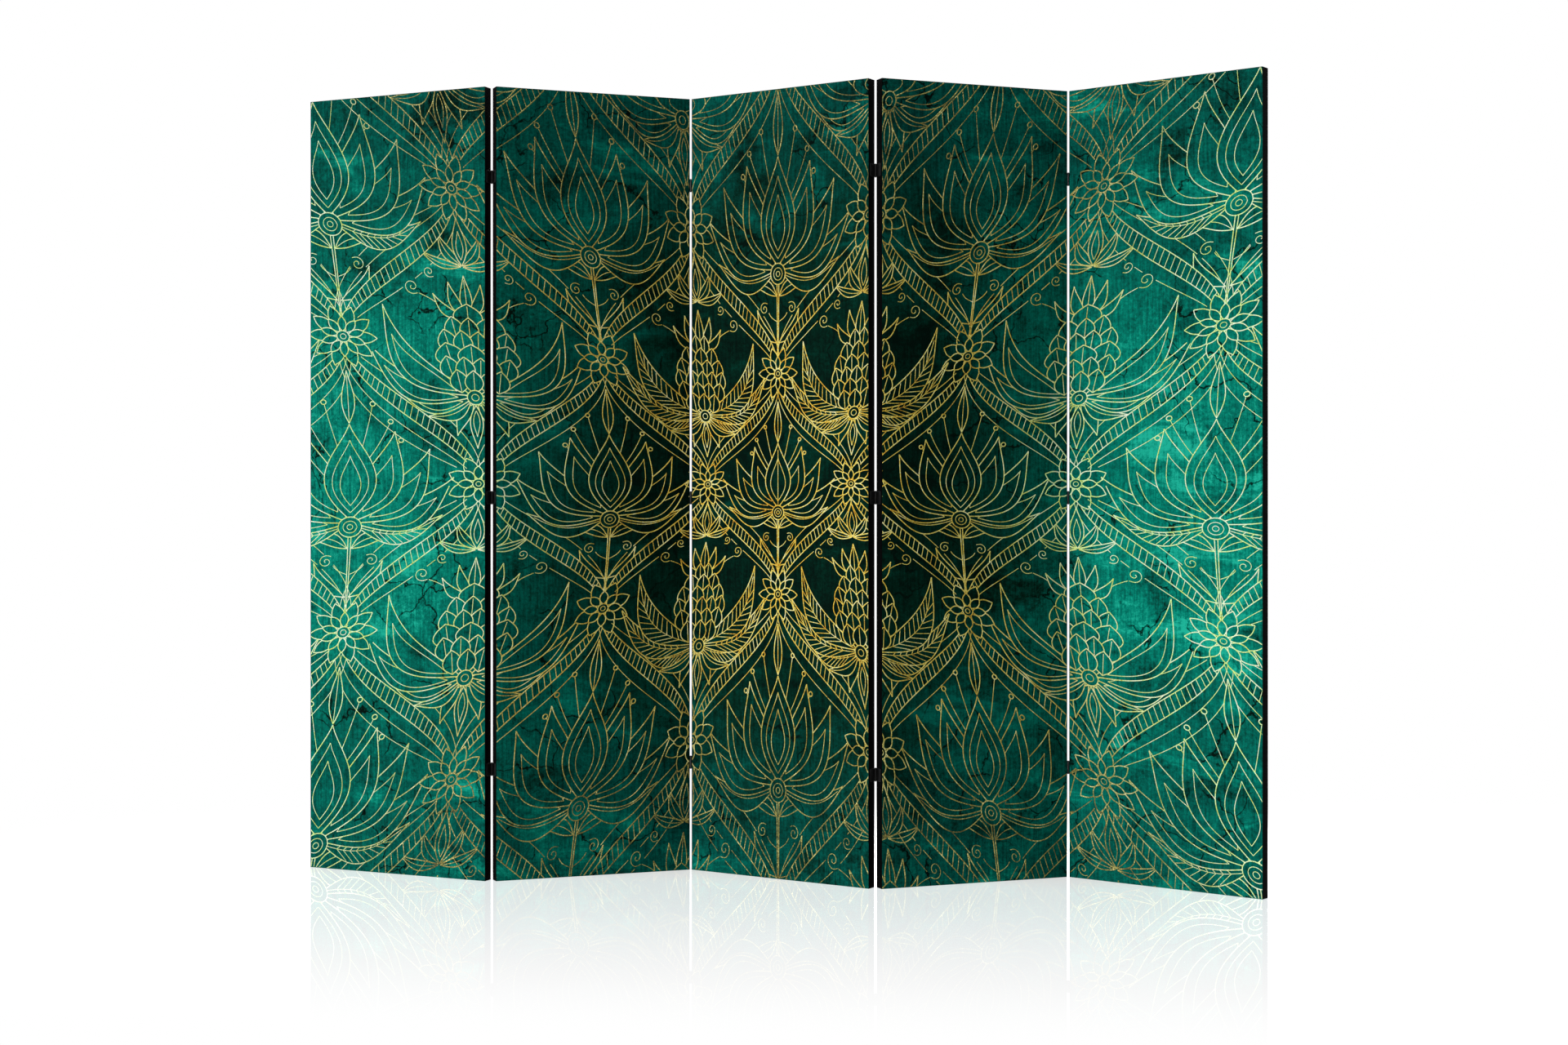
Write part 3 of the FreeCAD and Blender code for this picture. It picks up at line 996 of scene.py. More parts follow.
def scales(level):
    """A cone of scales, the lowest row in front."""
    rows, pitch, tall = {1: (5, 36, 56), 2: (6, 31, 46), 3: (6, 28, 46)}[level]
    shapes = []
    for row in range(rows):
        share = row / (rows - 1)
        height = -74 + 130 * share
        half = 60 * math.sin(math.pi * (0.18 + 0.72 * share) ** 0.9) + 6
        count = max(1, round(2 * half / pitch))
        if count % 2 == row % 2:
            count = max(1, count - 1)
        for number in sorted(range(count), key=lambda place: abs(place - (count - 1) / 2)):
            across = (number - (count - 1) / 2) * 2 * half / count
            foot, tip = (across * 0.82, height - tall / 2), (across * 1.06, height + tall / 2)
            inner = {"echoes": (0.5,) if level == 1 else (), "rib": level > 1}
            shapes.append(leaf(foot, tip, 2 * half / count * 1.2, fullness=0.9, point=0.8, **inner))
    return shapes


def scaly_fruit(level):
    """The cone of scales with a crown, long leaves and a hanging tuft."""
    inside_leaf = {"echoes": {1: (0.55,), 2: (0.6,), 3: ()}[level], "veins": 9 if level == 3 else 0}
    crown = [leaf((4, 52), (30, 118), 20, -6), leaf((8, 50), (60, 94), 18, -10)]
    long_leaves = [
        leaf((8, -102), (152, 66), 54, -44, **inside_leaf),
        leaf((8, -106), (186, -6), 46, -40, **inside_leaf),
        leaf((8, -110), (148, -84), 38, -26, **inside_leaf),
        leaf((8, -114), (88, -148), 28, -12, rib=True),
    ]
    ends = [
        leaf((4, -120), (36, -186), 22, 6),
        curl((96, 104), 15, 1.5, 230, 1),
        Shape([], [bow((30, 40), (86, 93), 10, fine=True)]),
        curl((62, 134), 11, 1.4, 230, 1),
        leaf((0, 150), (38, 206), 20, -8, rib=True),
        leaf((2, 148), (74, 172), 16, -8, rib=True),
    ]
    middle = [
        leaf((0, 52), (0, 132), 22, rib=True),
        leaf((0, -122), (0, -212), 24, echoes=(0.5,)),
        leaf((0, 150), (0, 236), 26, echoes=(0.5,)),
    ]
    cone = [ball((0, -106), 15, 7)] + scales(level) + both_sides(crown)
    return cone + middle + both_sides(long_leaves + ends)


def crossing_flower(level):
    count = {1: 10, 2: 8, 3: 10}[level]
    return [ball((0, 0), 11, 5)] + petals(count, 9, 38, 90) + petals(count, 14, 58, 90 + 180 / count)


print("fruit shapes:", {level: len(scaly_fruit(level)) for level in RUNGS})

# %% [markdown]
# ## Lay out the drawing
#
# A cell's motif lies in front of its sheaves but is hidden by the flowers at the cell's four
# corners and by the garlands. Each kind of cell is worked out once for each level and then
# copied to its places. At last every point is pushed away from the middle, the further out the
# more. That makes the middle cells small and the outer ones large, as if drawn on rubber.

# %% Cells in their places
LEVELS = (1, 2, 3)
DENSE_WITHIN = 420
OPEN_BEYOND = 800
COLUMNS = range(-6, 7)
ROWS = range(-4, 5)
CORNERS = ((CELL_WIDTH / 2, 0), (-CELL_WIDTH / 2, 0), (0, CELL_HEIGHT / 2), (0, -CELL_HEIGHT / 2))
MIDDLE_SIZE = 0.70
GROWTH = 0.48 / 1000


def level_at(place):
    """Dense in the middle of the screen, open at its ends."""
    return 3 if place.length < DENSE_WITHIN else 2 if place.length < OPEN_BEYOND else 1


def spread(point):
    return point * (MIDDLE_SIZE + GROWTH * point.length)


def outlines_only(shapes):
    return [Shape(shape.outline, []) for shape in shapes]


def cell_parts(level):
    """The strokes of the two kinds of cells, of a cell's garlands and of a flower."""
    bloom = crossing_flower(level)
    corners = outlines_only([moved_shape(shape, to=corner) for corner in CORNERS for shape in bloom])
    bands = on_four_sides(garland(level))
    sheaves = on_four_sides(sheaf(level))
    frame_of_cell = corners + outlines_only(bands)
    return {
        "lotus": layered(frame_of_cell + lotus(level) + sheaves) + layered(corners + bands),
        "fruit": layered(frame_of_cell + scaly_fruit(level) + sheaves),
        "flower": layered(bloom),
    }


parts = {level: cell_parts(level) for level in LEVELS}
drawing = []
for column in COLUMNS:
    for row in ROWS:
        spot = Vector((column * CELL_WIDTH / 2, row * CELL_HEIGHT / 2))
        kind = "flower" if (column + row) % 2 else "fruit" if column % 2 else "lotus"
        drawing += moved(parts[level_at(spot)][kind], to=spot)
drawing = [stroke._replace(points=[spread(point) for point in stroke.points]) for stroke in drawing]
for level in LEVELS:
    print(f"level {level}:", {kind: len(strokes) for kind, strokes in parts[level].items()}, "strokes")

# %% [markdown]
# ## The gold ink
#
# The lines are foil-like ink full of tiny flakes. A metal surface would mirror the white room
# and lose its colour, so the ink is a matt dark gold with paler specks. The specks are partly
# the flakes' own colour and partly painted glints, in place of the light that metal flakes
# would throw back. They come from noise finer than the line, and the hue from the place on the
# whole print. The heart of the drawing is yellow gold, and antique gold lies round it. Towards
# the top and the bottom the gold turns brown. Towards the two ends it turns to a greenish
# cream, most of all at half height.

# %% Gold ink
FLAKES_PER_METRE = 260
# The top stop of each gold ramp is nearly white: painted glints of the flakes.
WARM_GOLD = [(0.30, 204, 128, 12), (0.42, 248, 200, 44), (0.54, 252, 238, 116), (0.68, 255, 252, 214)]
ANTIQUE_GOLD = [(0.30, 156, 110, 26), (0.42, 206, 176, 60), (0.54, 222, 206, 98), (0.70, 248, 246, 192)]
BROWN_GOLD = [(0.34, 80, 72, 32), (0.46, 126, 116, 52), (0.58, 174, 164, 84), (0.72, 246, 238, 164)]
CREAM_GOLD = [(0.24, 196, 172, 48), (0.34, 206, 224, 96), (0.45, 216, 255, 152), (0.60, 242, 255, 226)]
HEART_OVAL = (1.7, 1, 1)
HEART_REACH = (0.28, 0.62)
BROWN_HEIGHT = (0.36, 0.72)
CREAM_REACH = (0.30, 0.72)
CREAM_DROP = -0.60


def gold_ink():
    material, tree, surface = new_material("gold_ink")
    place, from_middle, side, height = on_print(tree)
    flakes = clouds(tree, place, FLAKES_PER_METRE, 3, 0.75)
    # Fine noise picks the paler specks: the flakes' own colour, with painted glints at the top.
    flakes_and_painted_glints = sums(tree, "MULTIPLY_ADD", about_zero(tree, place, 24, 4), 0.7, flakes)
    warm, antique, brown, cream = (
        ramp(tree, flakes_and_painted_glints, stops) for stops in (WARM_GOLD, ANTIQUE_GOLD, BROWN_GOLD, CREAM_GOLD)
    )
    reach = oval_distance(tree, from_middle, HEART_OVAL)
    colour = blended(tree, graded(tree, reach, *HEART_REACH), warm, antique)
    colour = blended(tree, graded(tree, height, *BROWN_HEIGHT), colour, brown)
    far = sums(tree, "MULTIPLY_ADD", height, CREAM_DROP, side)
    colour = blended(tree, graded(tree, far, *CREAM_REACH), colour, cream)
    roughness = graded(tree, flakes, 0.35, 0.7, 0.62, 0.4)
    set_surface(tree, surface, {"Base Color": colour, "Roughness": roughness, "Specular IOR Level": 0.3})
    bump(tree, surface, flakes, 0.04 * MM, 0.5)
    return material


ink = gold_ink()
print("gold ink:", len(ink.node_tree.nodes), "nodes")

# %% [markdown]
# ## Print the drawing on the canvases
#
# The strokes become curves and then a mesh. A stroke of two points stays straight, and any
# other is a smooth spline. Lines in the middle of the print are a little finer.

# %% Helper for drawing the lines
LINE_WIDTH = 2.6
FINE_SHARE = 0.68
MIDDLE_FINENESS = 0.92
RELIEF = 0.12 * MM


def drawn(name, strokes, middle):
    """Strokes as one flat mesh whose x is measured from middle and whose z is the height."""
    curve = bpy.data.curves.new(name, "CURVE")
    curve.dimensions = "2D"
    curve.fill_mode = "NONE"
    curve.bevel_depth = LINE_WIDTH / 2 * MM
    curve.bevel_resolution = 0
    curve.use_fill_caps = True
    for stroke in strokes:
        bent = len(stroke.points) > 2
        spline = curve.splines.new("NURBS" if bent else "POLY")
        spline.points.add(len(stroke.points) - 1)
        for knot, point in zip(spline.points, stroke.points):
            knot.co = ((point.x - middle) * MM, point.y * MM + PANEL_HEIGHT / 2, 0, 1)
            outwards = min(1.0, point.length / (2 * CELL_WIDTH))
            fineness = MIDDLE_FINENESS + (1 - MIDDLE_FINENESS) * outwards
            knot.radius = fineness * (FINE_SHARE if stroke.fine else 1.0)
        if bent:
            spline.order_u = 3
            spline.use_endpoint_u = True
            spline.resolution_u = 2
    piece = bpy.data.objects.new(name, curve)
    bpy.context.collection.objects.link(piece)
    pick(piece)
    bpy.ops.object.convert(target="MESH")
    piece.scale.z = RELIEF / (LINE_WIDTH / 2 * MM)
    piece.rotation_euler.x = math.radians(90)
    return settle(piece)


# %% [markdown]
# Each canvas gets the strokes that reach into its strip of the print. Whatever reaches past the
# canvas is cut off with Bisect, which also closes the cut ends. So a flower that lies across a
# fold is cut in two, with one half on each canvas, as on a real print.

# %% Trim and place the lines
MARGIN = 1.2


def trimmed(piece, direction, limit):
    """Cuts off what reaches past limit in a direction."""
    edit(piece, "FACE", lambda face: True)
    normal = Vector(direction)
    bpy.ops.mesh.bisect(plane_co=normal * limit, plane_no=normal, use_fill=True, clear_outer=True)
    leave_edit()


def line_work(number):
    """The gold lines of one canvas, cut at its edges."""
    middle = (number - MIDDLE_PANEL) * PANEL_WIDTH / MM
    reach, rise = PANEL_WIDTH / MM / 2, PANEL_HEIGHT / MM / 2
    strokes = []
    for stroke in drawing:
        if any(abs(point.x - middle) < reach and abs(point.y) < rise for point in stroke.points):
            strokes.append(stroke)
    lines = drawn(f"gold_lines_{number}", strokes, middle)
    half = (reach - MARGIN) * MM
    top = (2 * rise - MARGIN) * MM
    trimmed(lines, (1, 0, 0), half)
    trimmed(lines, (-1, 0, 0), half)
    trimmed(lines, (0, 0, 1), top)
    trimmed(lines, (0, 0, -1), -MARGIN * MM)
    print_map(lines, middle * MM)
    return settle(lines, places[number] @ Matrix.Translation((0, -PANEL_THICKNESS / 2, 0)))


for number in PANELS:
    lines = line_work(number)
    wear(lines, ink, f"panel_{number}", "printed_canvas")
    print(f"gold lines {number}: {len(lines.data.polygons)} faces")

# %% [markdown]
# ## Pine bars
#
# The frame inside is pine and shows only under the panels. The bars keep the model's own
# shapes. Long grain is noise squeezed along the bar: stiles grow upwards, and rails lie along
# their panel's heading, so their pattern is turned by that heading.

# %% Pine on the bars
RING_PITCH = 5 * MM
ALONG_FIBRES = (1, 1, 0.03)
ALONG_RINGS = (1, 1, 0.08)
PINE_COLOURS = [(0.1, 168, 124, 76), (0.45, 206, 168, 116), (0.85, 226, 196, 148)]
BARS = ("left_stile", "right_stile", "bottom_rail", "top_rail", "cross_bar")


def pine(name, heading):
    """Pine with its grain upwards, or along a heading where one is given."""
    material, tree, surface = new_material(name)
    place = node(tree, "TexCoord").outputs["Object"]
    turn = (0, 0, 0) if heading is None else (0, math.radians(90), heading)
    along = node(tree, "Mapping", {"Vector": place, "Rotation": turn}, vector_type="TEXTURE").outputs[0]
    fibres = clouds(tree, stretched(tree, along, ALONG_FIBRES), 900, 3)
    bent = stretched(tree, along, ALONG_RINGS)
    rings = wave(tree, bent, RING_PITCH, distortion=5, detail=3, detail_scale=0.6)
    grain = sums(tree, "MULTIPLY_ADD", fibres, 0.35, sums(tree, "MULTIPLY", rings, 0.65))
    colour = ramp(tree, grain, PINE_COLOURS)
    set_surface(tree, surface, {"Base Color": colour, "Roughness": 0.62, "Specular IOR Level": 0.35})
    bump(tree, surface, grain, 0.1 * MM, 0.5)
    return material


upright_pine = pine("upright_pine", None)
for number, place in places.items():
    level_pine = pine(f"level_pine_{number}", place.to_euler().z)
    for bar in BARS:
        shown = frame["nodes"][f"panel_{number}_{bar}"]
        shown.data.materials.clear()
        shown.data.materials.append(upright_pine if "stile" in bar else level_pine)
print("bars dressed:", len(BARS) * len(PANELS))

# %% [markdown]
# ## Hinges
#
# Small butt hinges join the panels, three at each fold: two leaves of sheet steel that are
# rolled round one pin. The leaves are lacquered black, and screws and pins are blackened steel.
# Both are one finish with other numbers: fine speckle, and soft patches where hands have worn
# it paler and duller. Plain black would hide their shape.

# %% Black hardware finishes
LACQUER_COLOURS = [(0.3, 8, 8, 9), (0.6, 15, 15, 16), (0.8, 26, 26, 28)]


def black_lacquer(name, wear_colour, roughness):
    material, tree, surface = new_material(name)
    place = node(tree, "TexCoord").outputs["Object"]
    speckle = clouds(tree, place, 700, 3)
    handling = clouds(tree, place, 60, 5, 0.65)
    worn = graded(tree, handling, 0.58, 0.74)
    colour = blended(tree, worn, ramp(tree, speckle, LACQUER_COLOURS), wear_colour)
    gloss = graded(tree, handling, 0.3, 0.7, roughness, roughness + 0.18)
    set_surface(tree, surface, {"Base Color": colour, "Roughness": gloss, "Specular IOR Level": 0.5})
    bump(tree, surface, speckle, 0.02 * MM, 0.6)
    return material


lacquer = black_lacquer("black_lacquer", tint(40, 39, 38), 0.34)
blackened_steel = black_lacquer("blackened_steel", tint(84, 81, 78), 0.26)
print("black finishes:", lacquer.name, "and", blackened_steel.name)

# %% [markdown]
# A fold's joint says where its pins stand, and the pins' own mesh says how high. The three pins
# of a fold are one node, so its points fall into three groups with wide gaps between them.

# %% Where the hinges are
PINS_APART = 0.1


def pin_spans(node_name):
    """The lowest and highest point of each pin, from the bottom up."""
    heights = sorted({round(point.z, 5) for point in node_points(node_name)})
    spans = []
    for height in heights:
        if spans and height - spans[-1][1] < PINS_APART:
            spans[-1][1] = height
        else:
            spans.append([height, height])
    return spans


pivots = {joint["name"]: Vector(joint["pos_m"]) for joint in frame["joints"]}
spans = pin_spans("fold_1_2_pins")
print("hinge heights:", [[round(end, 4) for end in span] for span in spans])

# %% [markdown]
# The leaf's sizes are read from the model: half its width across the pin is the barrel's
# radius, and what is left of its depth is the plate. It starts as a flat plate, which is a box
# with its two far corners rounded. The box lies where the finished plate does, flush with the
# outside of the barrel, and the pin's line is the z axis until the leaf is hung.

# %% The flat plate
leaf_low, leaf_high = own_box("panel_2_left_hinge_leaves", places[2])
BARREL = (leaf_high.x - leaf_low.x) / 2
PLATE_REACH = leaf_high.y - leaf_low.y - BARREL
LEAF_THICKNESS = 0.9 * MM
LEAF_HEIGHT = 28 * MM
BORE = BARREL - LEAF_THICKNESS
PLATE_CORNER = 3 * MM
print(f"barrel {BARREL / MM:.2f} mm, plate {PLATE_REACH / MM:.1f} mm")


def flat_plate(name):
    """The leaf before it is rolled, with its two far corners rounded."""
    bpy.ops.mesh.primitive_cube_add(size=1)
    plate = bpy.context.object
    plate.name = name
    plate.scale = (LEAF_THICKNESS, PLATE_REACH, LEAF_HEIGHT)
    plate.location = (BARREL - LEAF_THICKNESS / 2, PLATE_REACH / 2, 0)
    settle(plate)

    def far_corner(edge):
        first, second = (end.co for end in edge.verts)
        return min(first.y, second.y) > PLATE_REACH - TOUCH and abs(first.z - second.z) < TOUCH

    edit(plate, "EDGE", far_corner)
    bpy.ops.mesh.bevel(offset=PLATE_CORNER, offset_type="OFFSET", segments=4)
    leave_edit()
    return plate


# %% [markdown]
# Bisect cuts the plate into heights, so that the outer two or the middle one can be rolled. A
# thin stretch between them isn't rolled, which leaves the gap between the knuckles. Spin then
# carries the near edge round the pin's line. It stops where its end would run into the plate,
# so a thin seam stays open, as on a real hinge. A tube set against a plate would have none.

# %% Roll the knuckles
MIDDLE_KNUCKLE = LEAF_HEIGHT / 3
KNUCKLE_GAP = 0.1 * MM
ROLL = math.radians(294)
ROLL_STEPS = 22


def roll_knuckles(plate, outer):
    """Spins the near edge round the pin's line: its two ends for the outer leaf, else its middle."""
    inner_end = MIDDLE_KNUCKLE / 2 - KNUCKLE_GAP
    outer_end = MIDDLE_KNUCKLE / 2 + KNUCKLE_GAP
    for height in (-outer_end, -inner_end, inner_end, outer_end):
        edit(plate, "FACE", lambda face: True)
        bpy.ops.mesh.bisect(plane_co=(0, 0, height), plane_no=(0, 0, 1))
        leave_edit()

    def rolled(face):
        height = abs(face.calc_center_median().z)
        in_knuckle = height > outer_end if outer else height < inner_end
        return face.normal.y < -0.9 and in_knuckle

    edit(plate, "FACE", rolled)
    bpy.ops.mesh.spin(steps=ROLL_STEPS, angle=ROLL, center=(0, 0, 0), axis=(0, 0, -1))
    bpy.ops.mesh.select_all(action="SELECT")
    bpy.ops.mesh.remove_doubles(threshold=TOUCH / 4)
    bpy.ops.mesh.normals_make_consistent(inside=False)
    leave_edit()


# %% [markdown]
# Two cones cut the countersinks for the screws out of the plate. A narrow bevel breaks the
# sharp edges, so that they catch the light, as lacquered edges do.

# %% Finish the leaves
SCREW_HEIGHTS = (-8 * MM, 8 * MM)
SCREW_DISTANCE = 0.58 * PLATE_REACH
HEAD_RADIUS = 2.5 * MM
SINK_MOUTH = 1.12
SINK_FOOT = 0.5
EDGE_BREAK = 0.12 * MM
SHARP = math.radians(50)
SMOOTH_METAL = math.radians(35)


def cone_along_x(start, end, start_radius, end_radius, height=0.0):
    """A closed cone between two places on x, at the screws' distance from the pin."""
    spot = {"location": ((start + end) / 2, SCREW_DISTANCE, height), "rotation": (0, math.radians(90), 0)}
    bpy.ops.mesh.primitive_cone_add(
        vertices=20, radius1=start_radius, radius2=end_radius, depth=end - start, **spot
    )
    return settle(bpy.context.object)


def cut_from(piece, cutter):
    apply_modifier(piece, "BOOLEAN", object=cutter, operation="DIFFERENCE", solver="EXACT")
    bpy.data.objects.remove(cutter)


def hinge_leaf(name, outer):
    """A leaf with its pin line on z and its plate running along +y; outer has two knuckles."""
    leaf_piece = flat_plate(name)
    roll_knuckles(leaf_piece, outer)
    past = LEAF_THICKNESS * 0.1
    mouth, foot = HEAD_RADIUS * SINK_MOUTH, HEAD_RADIUS * SINK_FOOT
    for height in SCREW_HEIGHTS:
        cut_from(leaf_piece, cone_along_x(BORE - past, BARREL + past, mouth, foot, height))
    apply_modifier(leaf_piece, "BEVEL", width=EDGE_BREAK, segments=1, limit_method="ANGLE", angle_limit=SHARP)
    bpy.ops.object.shade_smooth_by_angle(angle=SMOOTH_METAL)
    sizes = [round(size / MM, 2) for size in leaf_piece.dimensions]
    print(name, "mm:", sizes, len(leaf_piece.data.polygons), "faces")
    return leaf_piece


patterns = {"left": hinge_leaf("middle_knuckle_leaf", False), "right": hinge_leaf("outer_knuckle_leaf", True)}

# %% [markdown]
# A leaf is held by two countersunk wood screws. Only their heads show: a short cone, with a
# cross cut into it by two small blades. The pin is a rod with a low domed head at each end,
# extruded and shrunk in three steps.

# %% Screws and pins
SCREW_SINK = 0.05 * MM
HEAD_FOOT = 0.48
CROSS_BLADES = ((1, 2.6, 0.5), (1, 0.5, 2.6))
PIN_PLAY = 0.05 * MM
PIN_RADIUS = BORE - PIN_PLAY
PIN_NECK = 0.05 * MM
PIN_HEAD = 1.7
DOME_STEPS = ((0.3, 1.0), (0.25, 0.86), (0.12, 0.6))
SMOOTH_DOME = math.radians(45)


def countersunk_screw():
    """A flat head with a cross recess, flush with the plate."""
    screw = cone_along_x(BORE + SCREW_SINK, BARREL, HEAD_RADIUS, HEAD_RADIUS * HEAD_FOOT)
    for size in CROSS_BLADES:
        bpy.ops.mesh.primitive_cube_add(size=1, location=(BORE, SCREW_DISTANCE, 0))
        blade = bpy.context.object
        blade.scale = [share * MM for share in size]
        settle(blade)
        cut_from(screw, blade)
    bpy.ops.object.shade_smooth_by_angle(angle=SMOOTH_METAL)
    return screw


def hinge_pin(length):
    """A rod with a low domed head at each end."""
    bpy.ops.mesh.primitive_cylinder_add(vertices=20, radius=PIN_RADIUS, depth=length)
    pin = bpy.context.object
    for way in (-1, 1):
        edit(pin, "FACE", lambda face: face.normal.z * way > 0.9)
        bpy.ops.mesh.extrude_region_move(TRANSFORM_OT_translate={"value": (0, 0, way * PIN_NECK)})
        bpy.ops.transform.resize(value=(PIN_HEAD, PIN_HEAD, 1))
        for rise, share in DOME_STEPS:
            bpy.ops.mesh.extrude_region_move(TRANSFORM_OT_translate={"value": (0, 0, way * rise * MM)})
            bpy.ops.transform.resize(value=(share, share, 1))
        leave_edit()
    bpy.ops.object.shade_smooth_by_angle(angle=SMOOTH_DOME)
    return pin


screw_pattern = countersunk_screw()
pin_pattern = hinge_pin(spans[0][1] - spans[0][0])
print(f"pin {2 * PIN_RADIUS / MM:.2f} mm thick")

# %% [markdown]
# Each fold has three hinges. Their pins are on the back where the fold points at the viewer,
# and on the front where it points away. A leaf is turned so that its plate lies on its own
# panel's edge: no turn, or half a turn about x, y or z, gives the four cases.

# %% Hang the hinges
TURN_AXES = {("left", "front"): None, ("left", "back"): "X", ("right", "front"): "Y", ("right", "back"): "Z"}


def hinge_face(fold, number):
    """Whether a fold's pins lie at the front or the back of a panel."""
    return "front" if (places[number].inverted() @ pivots[fold]).y < 0 else "back"


def hang(pattern, name, number, side, fold):
    """Copies of a leaf or screw pattern for the three hinges at one side of a panel."""
    axis = TURN_AXES[side, hinge_face(fold, number)]
    turn = Matrix.Rotation(math.pi, 4, axis) if axis else Matrix()
    heading = places[number].to_3x3().to_4x4()
    copies = []
    for low, high in pin_spans(f"{fold}_pins"):
        place = Matrix.Translation((*pivots[fold].xy, (low + high) / 2)) @ heading @ turn
        for height in SCREW_HEIGHTS if pattern is screw_pattern else (0,):
            copies.append(settle(copy_of(pattern, name), place @ Matrix.Translation((0, 0, height))))
    return joined(copies, name)


for number in PANELS[:-1]:
    fold = f"fold_{number}_{number + 1}"
    for panel, side in ((number, "right"), (number + 1, "left")):
        leaves = hang(patterns[side], f"{side}_leaves_{panel}", panel, side, fold)
        wear(leaves, lacquer, f"panel_{panel}", "hinge_black", f"panel_{panel}_{side}_hinge_leaves")
        screws = hang(screw_pattern, f"{side}_hinge_screws_{panel}", panel, side, fold)
        wear(screws, blackened_steel, f"panel_{panel}", "hinge_black")
    rods = []
    for low, high in pin_spans(f"{fold}_pins"):
        upright = Matrix.Translation((*pivots[fold].xy, (low + high) / 2))
        rods.append(settle(copy_of(pin_pattern, "pin"), upright))
    pins = joined(rods, f"{fold}_hinge_pins")
    wear(pins, blackened_steel, f"panel_{number}", "pin_black", f"{fold}_pins")
for pattern in (*patterns.values(), screw_pattern, pin_pattern):
    bpy.data.objects.remove(pattern)
print("hinges:", 3 * (len(PANELS) - 1))

# %% [markdown]
# ## Floor, backdrop and light
#
# The photograph has a white floor and backdrop with no line between them, a faint mirror image
# of the screen on the floor, and soft light from the left. A real room would need lamps strong
# enough to bleach floor and wall, and they would bleach the screen too. So the world is white
# where the camera or a reflection sees it, and dimmer where it lights the object.

# %% The world
WHITE = (1, 1, 1, 1)
WORLD_LIGHT = 0.35


def white_world():
    world = bpy.data.worlds.new("studio")
    bpy.context.scene.world = world
    world.use_nodes = True
    tree = world.node_tree
    light = tree.nodes["Background"]
    light.inputs["Color"].default_value = WHITE
    light.inputs["Strength"].default_value = WORLD_LIGHT
    seen = node(tree, "Background", {"Color": WHITE, "Strength": 1.0})
    rays = node(tree, "LightPath")
    by_eye = sums(tree, "MAXIMUM", rays.outputs["Is Camera Ray"], rays.outputs["Is Glossy Ray"])
    by_eye = sums(tree, "MAXIMUM", by_eye, rays.outputs["Is Transmission Ray"])
    mixed = node(tree, "MixShader", {0: by_eye, 1: light.outputs[0], 2: seen.outputs[0]})
    tree.links.new(mixed.outputs[0], tree.nodes["World Output"].inputs["Surface"])


white_world()
print("world: white to the eye, and a light of", WORLD_LIGHT)

# %% [markdown]
# The floor is matt, with a thin gloss that fades away from the screen's foot. For the camera it
# glows too, nearly white at the screen and all white further off, where it meets the backdrop.
# In front the mirror image is stronger than a real one, and the glow has a little of the
# print's teal, a painted reflection of the print, because that is how the photograph's floor
# looks.

# %% The floor
FLOOR_SIZE = 60
FLOOR_COLOUR = (0.55, 0.55, 0.55, 1)
# The front glow's teal tint is a painted reflection of the print; the back glow is plain.
FLOOR_GLOW_AND_PAINTED_TEAL = {"front": (0.76, 0.81, 0.82, 1), "back": (0.76, 0.76, 0.76, 1)}
FLOOR_FADE = (0.25, 1.1)
FRONT_TO_BACK = (-0.1, 0.1)
MIRROR = 0.28
MIRROR_GAIN = {"front": 2.2, "back": 1.0}
MIRROR_FADE = (0.10, 1.5)


def screen_distance(tree, place):
    """How far a point of the floor is from the line that the screen stands on."""
    past_end = sums(tree, "SUBTRACT", sums(tree, "ABSOLUTE", place.outputs[0]), cad_bounds[1].x)
    beside = sums(tree, "MAXIMUM", past_end, 0.0)
    away = node(tree, "CombineXYZ", {0: beside, 1: place.outputs[1]}).outputs[0]
    return node(tree, "VectorMath", {0: away}, operation="LENGTH").outputs[1]


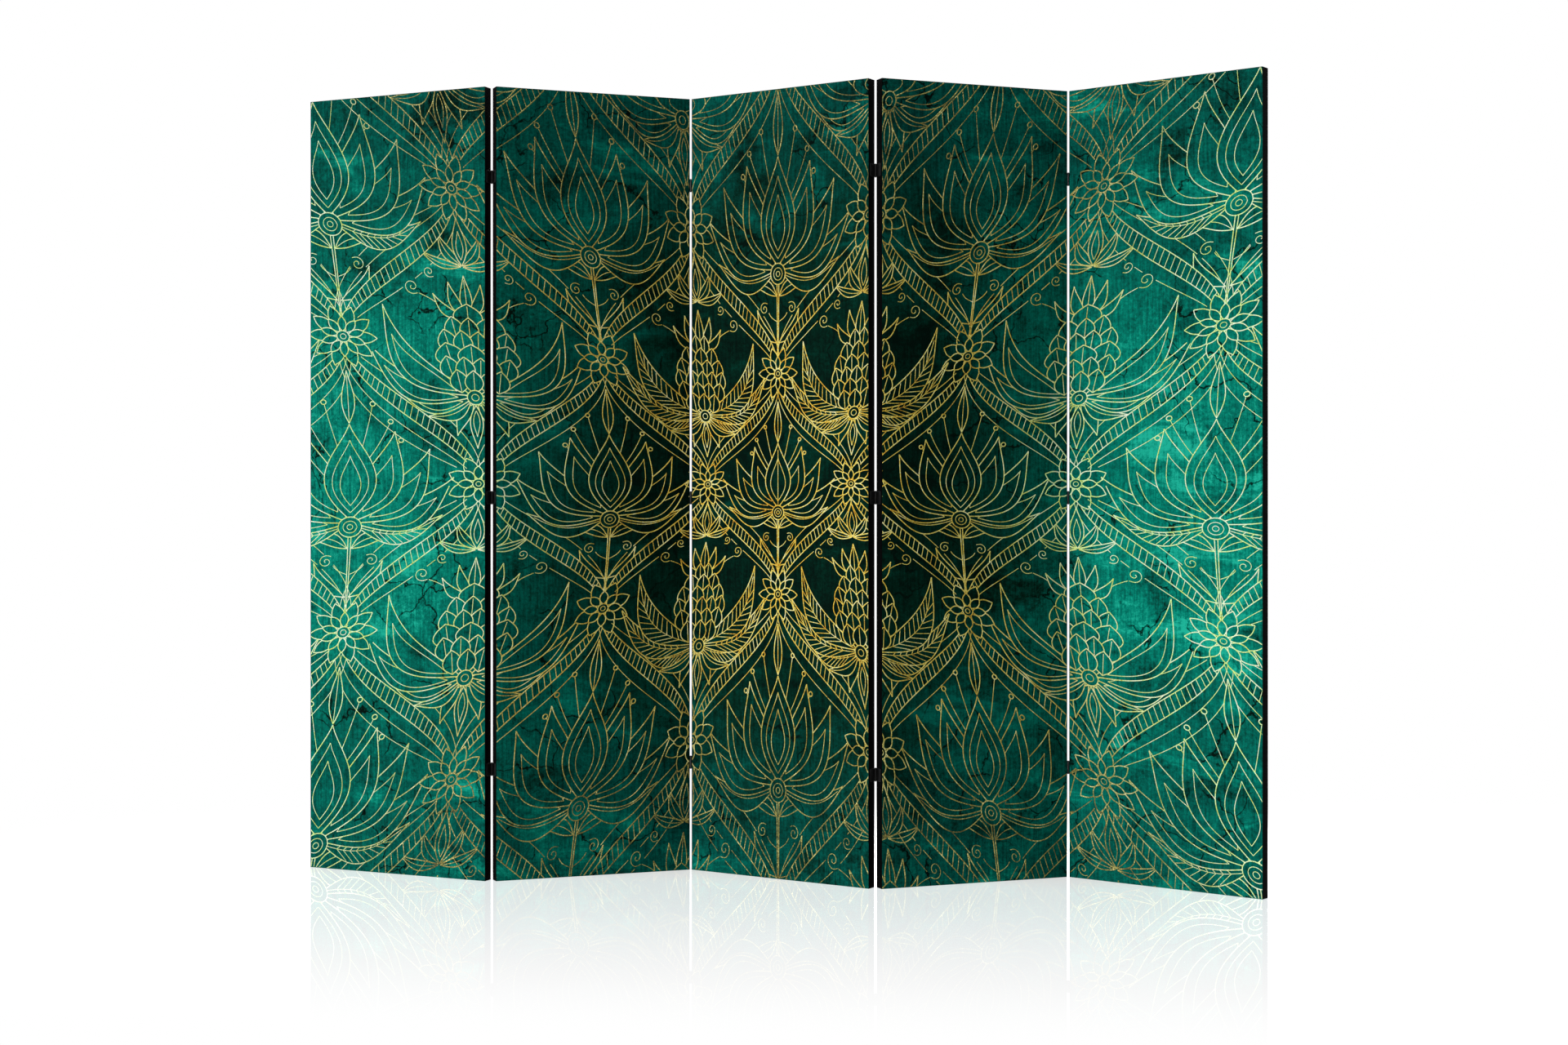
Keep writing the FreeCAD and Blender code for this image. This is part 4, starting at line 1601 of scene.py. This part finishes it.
def white_floor():
    material, tree, surface = new_material("white_floor")
    set_surface(tree, surface, {"Base Color": FLOOR_COLOUR, "Roughness": 0.9, "Specular IOR Level": 0.0})
    place = node(tree, "SeparateXYZ", {0: node(tree, "TexCoord").outputs["Object"]})
    seen = node(tree, "LightPath").outputs["Is Camera Ray"]
    behind = graded(tree, place.outputs[1], *FRONT_TO_BACK)
    # Glow colour: teal in front as a painted reflection of the print, plain behind.
    tone = blended(tree, behind, FLOOR_GLOW_AND_PAINTED_TEAL["front"], FLOOR_GLOW_AND_PAINTED_TEAL["back"])
    glow = node(tree, "Emission", {"Color": tone, "Strength": seen})
    near = node(tree, "AddShader", {0: surface.outputs[0], 1: glow.outputs[0]})
    white = node(tree, "Emission", {"Color": WHITE, "Strength": 1.0})
    fade = sums(tree, "MULTIPLY", graded(tree, screen_distance(tree, place), *FLOOR_FADE), seen)
    even = node(tree, "MixShader", {0: fade, 1: near.outputs[0], 2: white.outputs[0]})
    gain = graded(tree, behind, 0.0, 1.0, MIRROR_GAIN["front"], MIRROR_GAIN["back"])
    mirror = node(tree, "BsdfGlossy", {"Color": gain, "Roughness": 0.01})
    share = graded(tree, sums(tree, "ABSOLUTE", place.outputs[1]), *MIRROR_FADE, MIRROR, 0.0)
    whole = node(tree, "MixShader", {0: share, 1: even.outputs[0], 2: mirror.outputs[0]})
    tree.links.new(whole.outputs[0], tree.nodes["Material Output"].inputs["Surface"])
    return material


bpy.ops.mesh.primitive_plane_add(size=FLOOR_SIZE)
floor = bpy.context.object
floor.name = "studio_floor"
floor.data.materials.append(white_floor())
print("floor:", FLOOR_SIZE, "m square")

# %% [markdown]
# The panels that face left are about twice as bright in the photograph as those that face
# right, and equally bright from end to end. So the main light is far away to the left, nearly
# along the right-facing panels, and wide enough for soft shadows. A second one, low and from
# behind, lights the linings, so that they render only somewhat darker than they are written.

# %% The lamps
KEY_FROM = (-0.80, -0.55, 0.26)
KEY_STRENGTH = 2.4
BACK_FROM = (0.14, 0.80, 0.16)
BACK_STRENGTH = 1.6
LAMP_WIDTH = math.radians(26)
LAMP_DISTANCE = 6


def far_lamp(name, direction, strength):
    bpy.ops.object.light_add(type="SUN", location=Vector(direction) * LAMP_DISTANCE)
    lamp = bpy.context.object
    lamp.name = name
    lamp.data.energy = strength
    lamp.data.angle = LAMP_WIDTH
    lamp.rotation_euler = (-Vector(direction)).to_track_quat("-Z", "Y").to_euler()
    print(name, "light from", direction)


far_lamp("key", KEY_FROM, KEY_STRENGTH)
far_lamp("back", BACK_FROM, BACK_STRENGTH)
bpy.context.scene.view_settings.view_transform = "Standard"

# %% [markdown]
# ## The model's size
#
# The dressed screen has to fill the same box as the model. The model's box is printed.

# %% Print the model's size
print("model:", [round(v, 4) for corner in cad_bounds for v in corner])
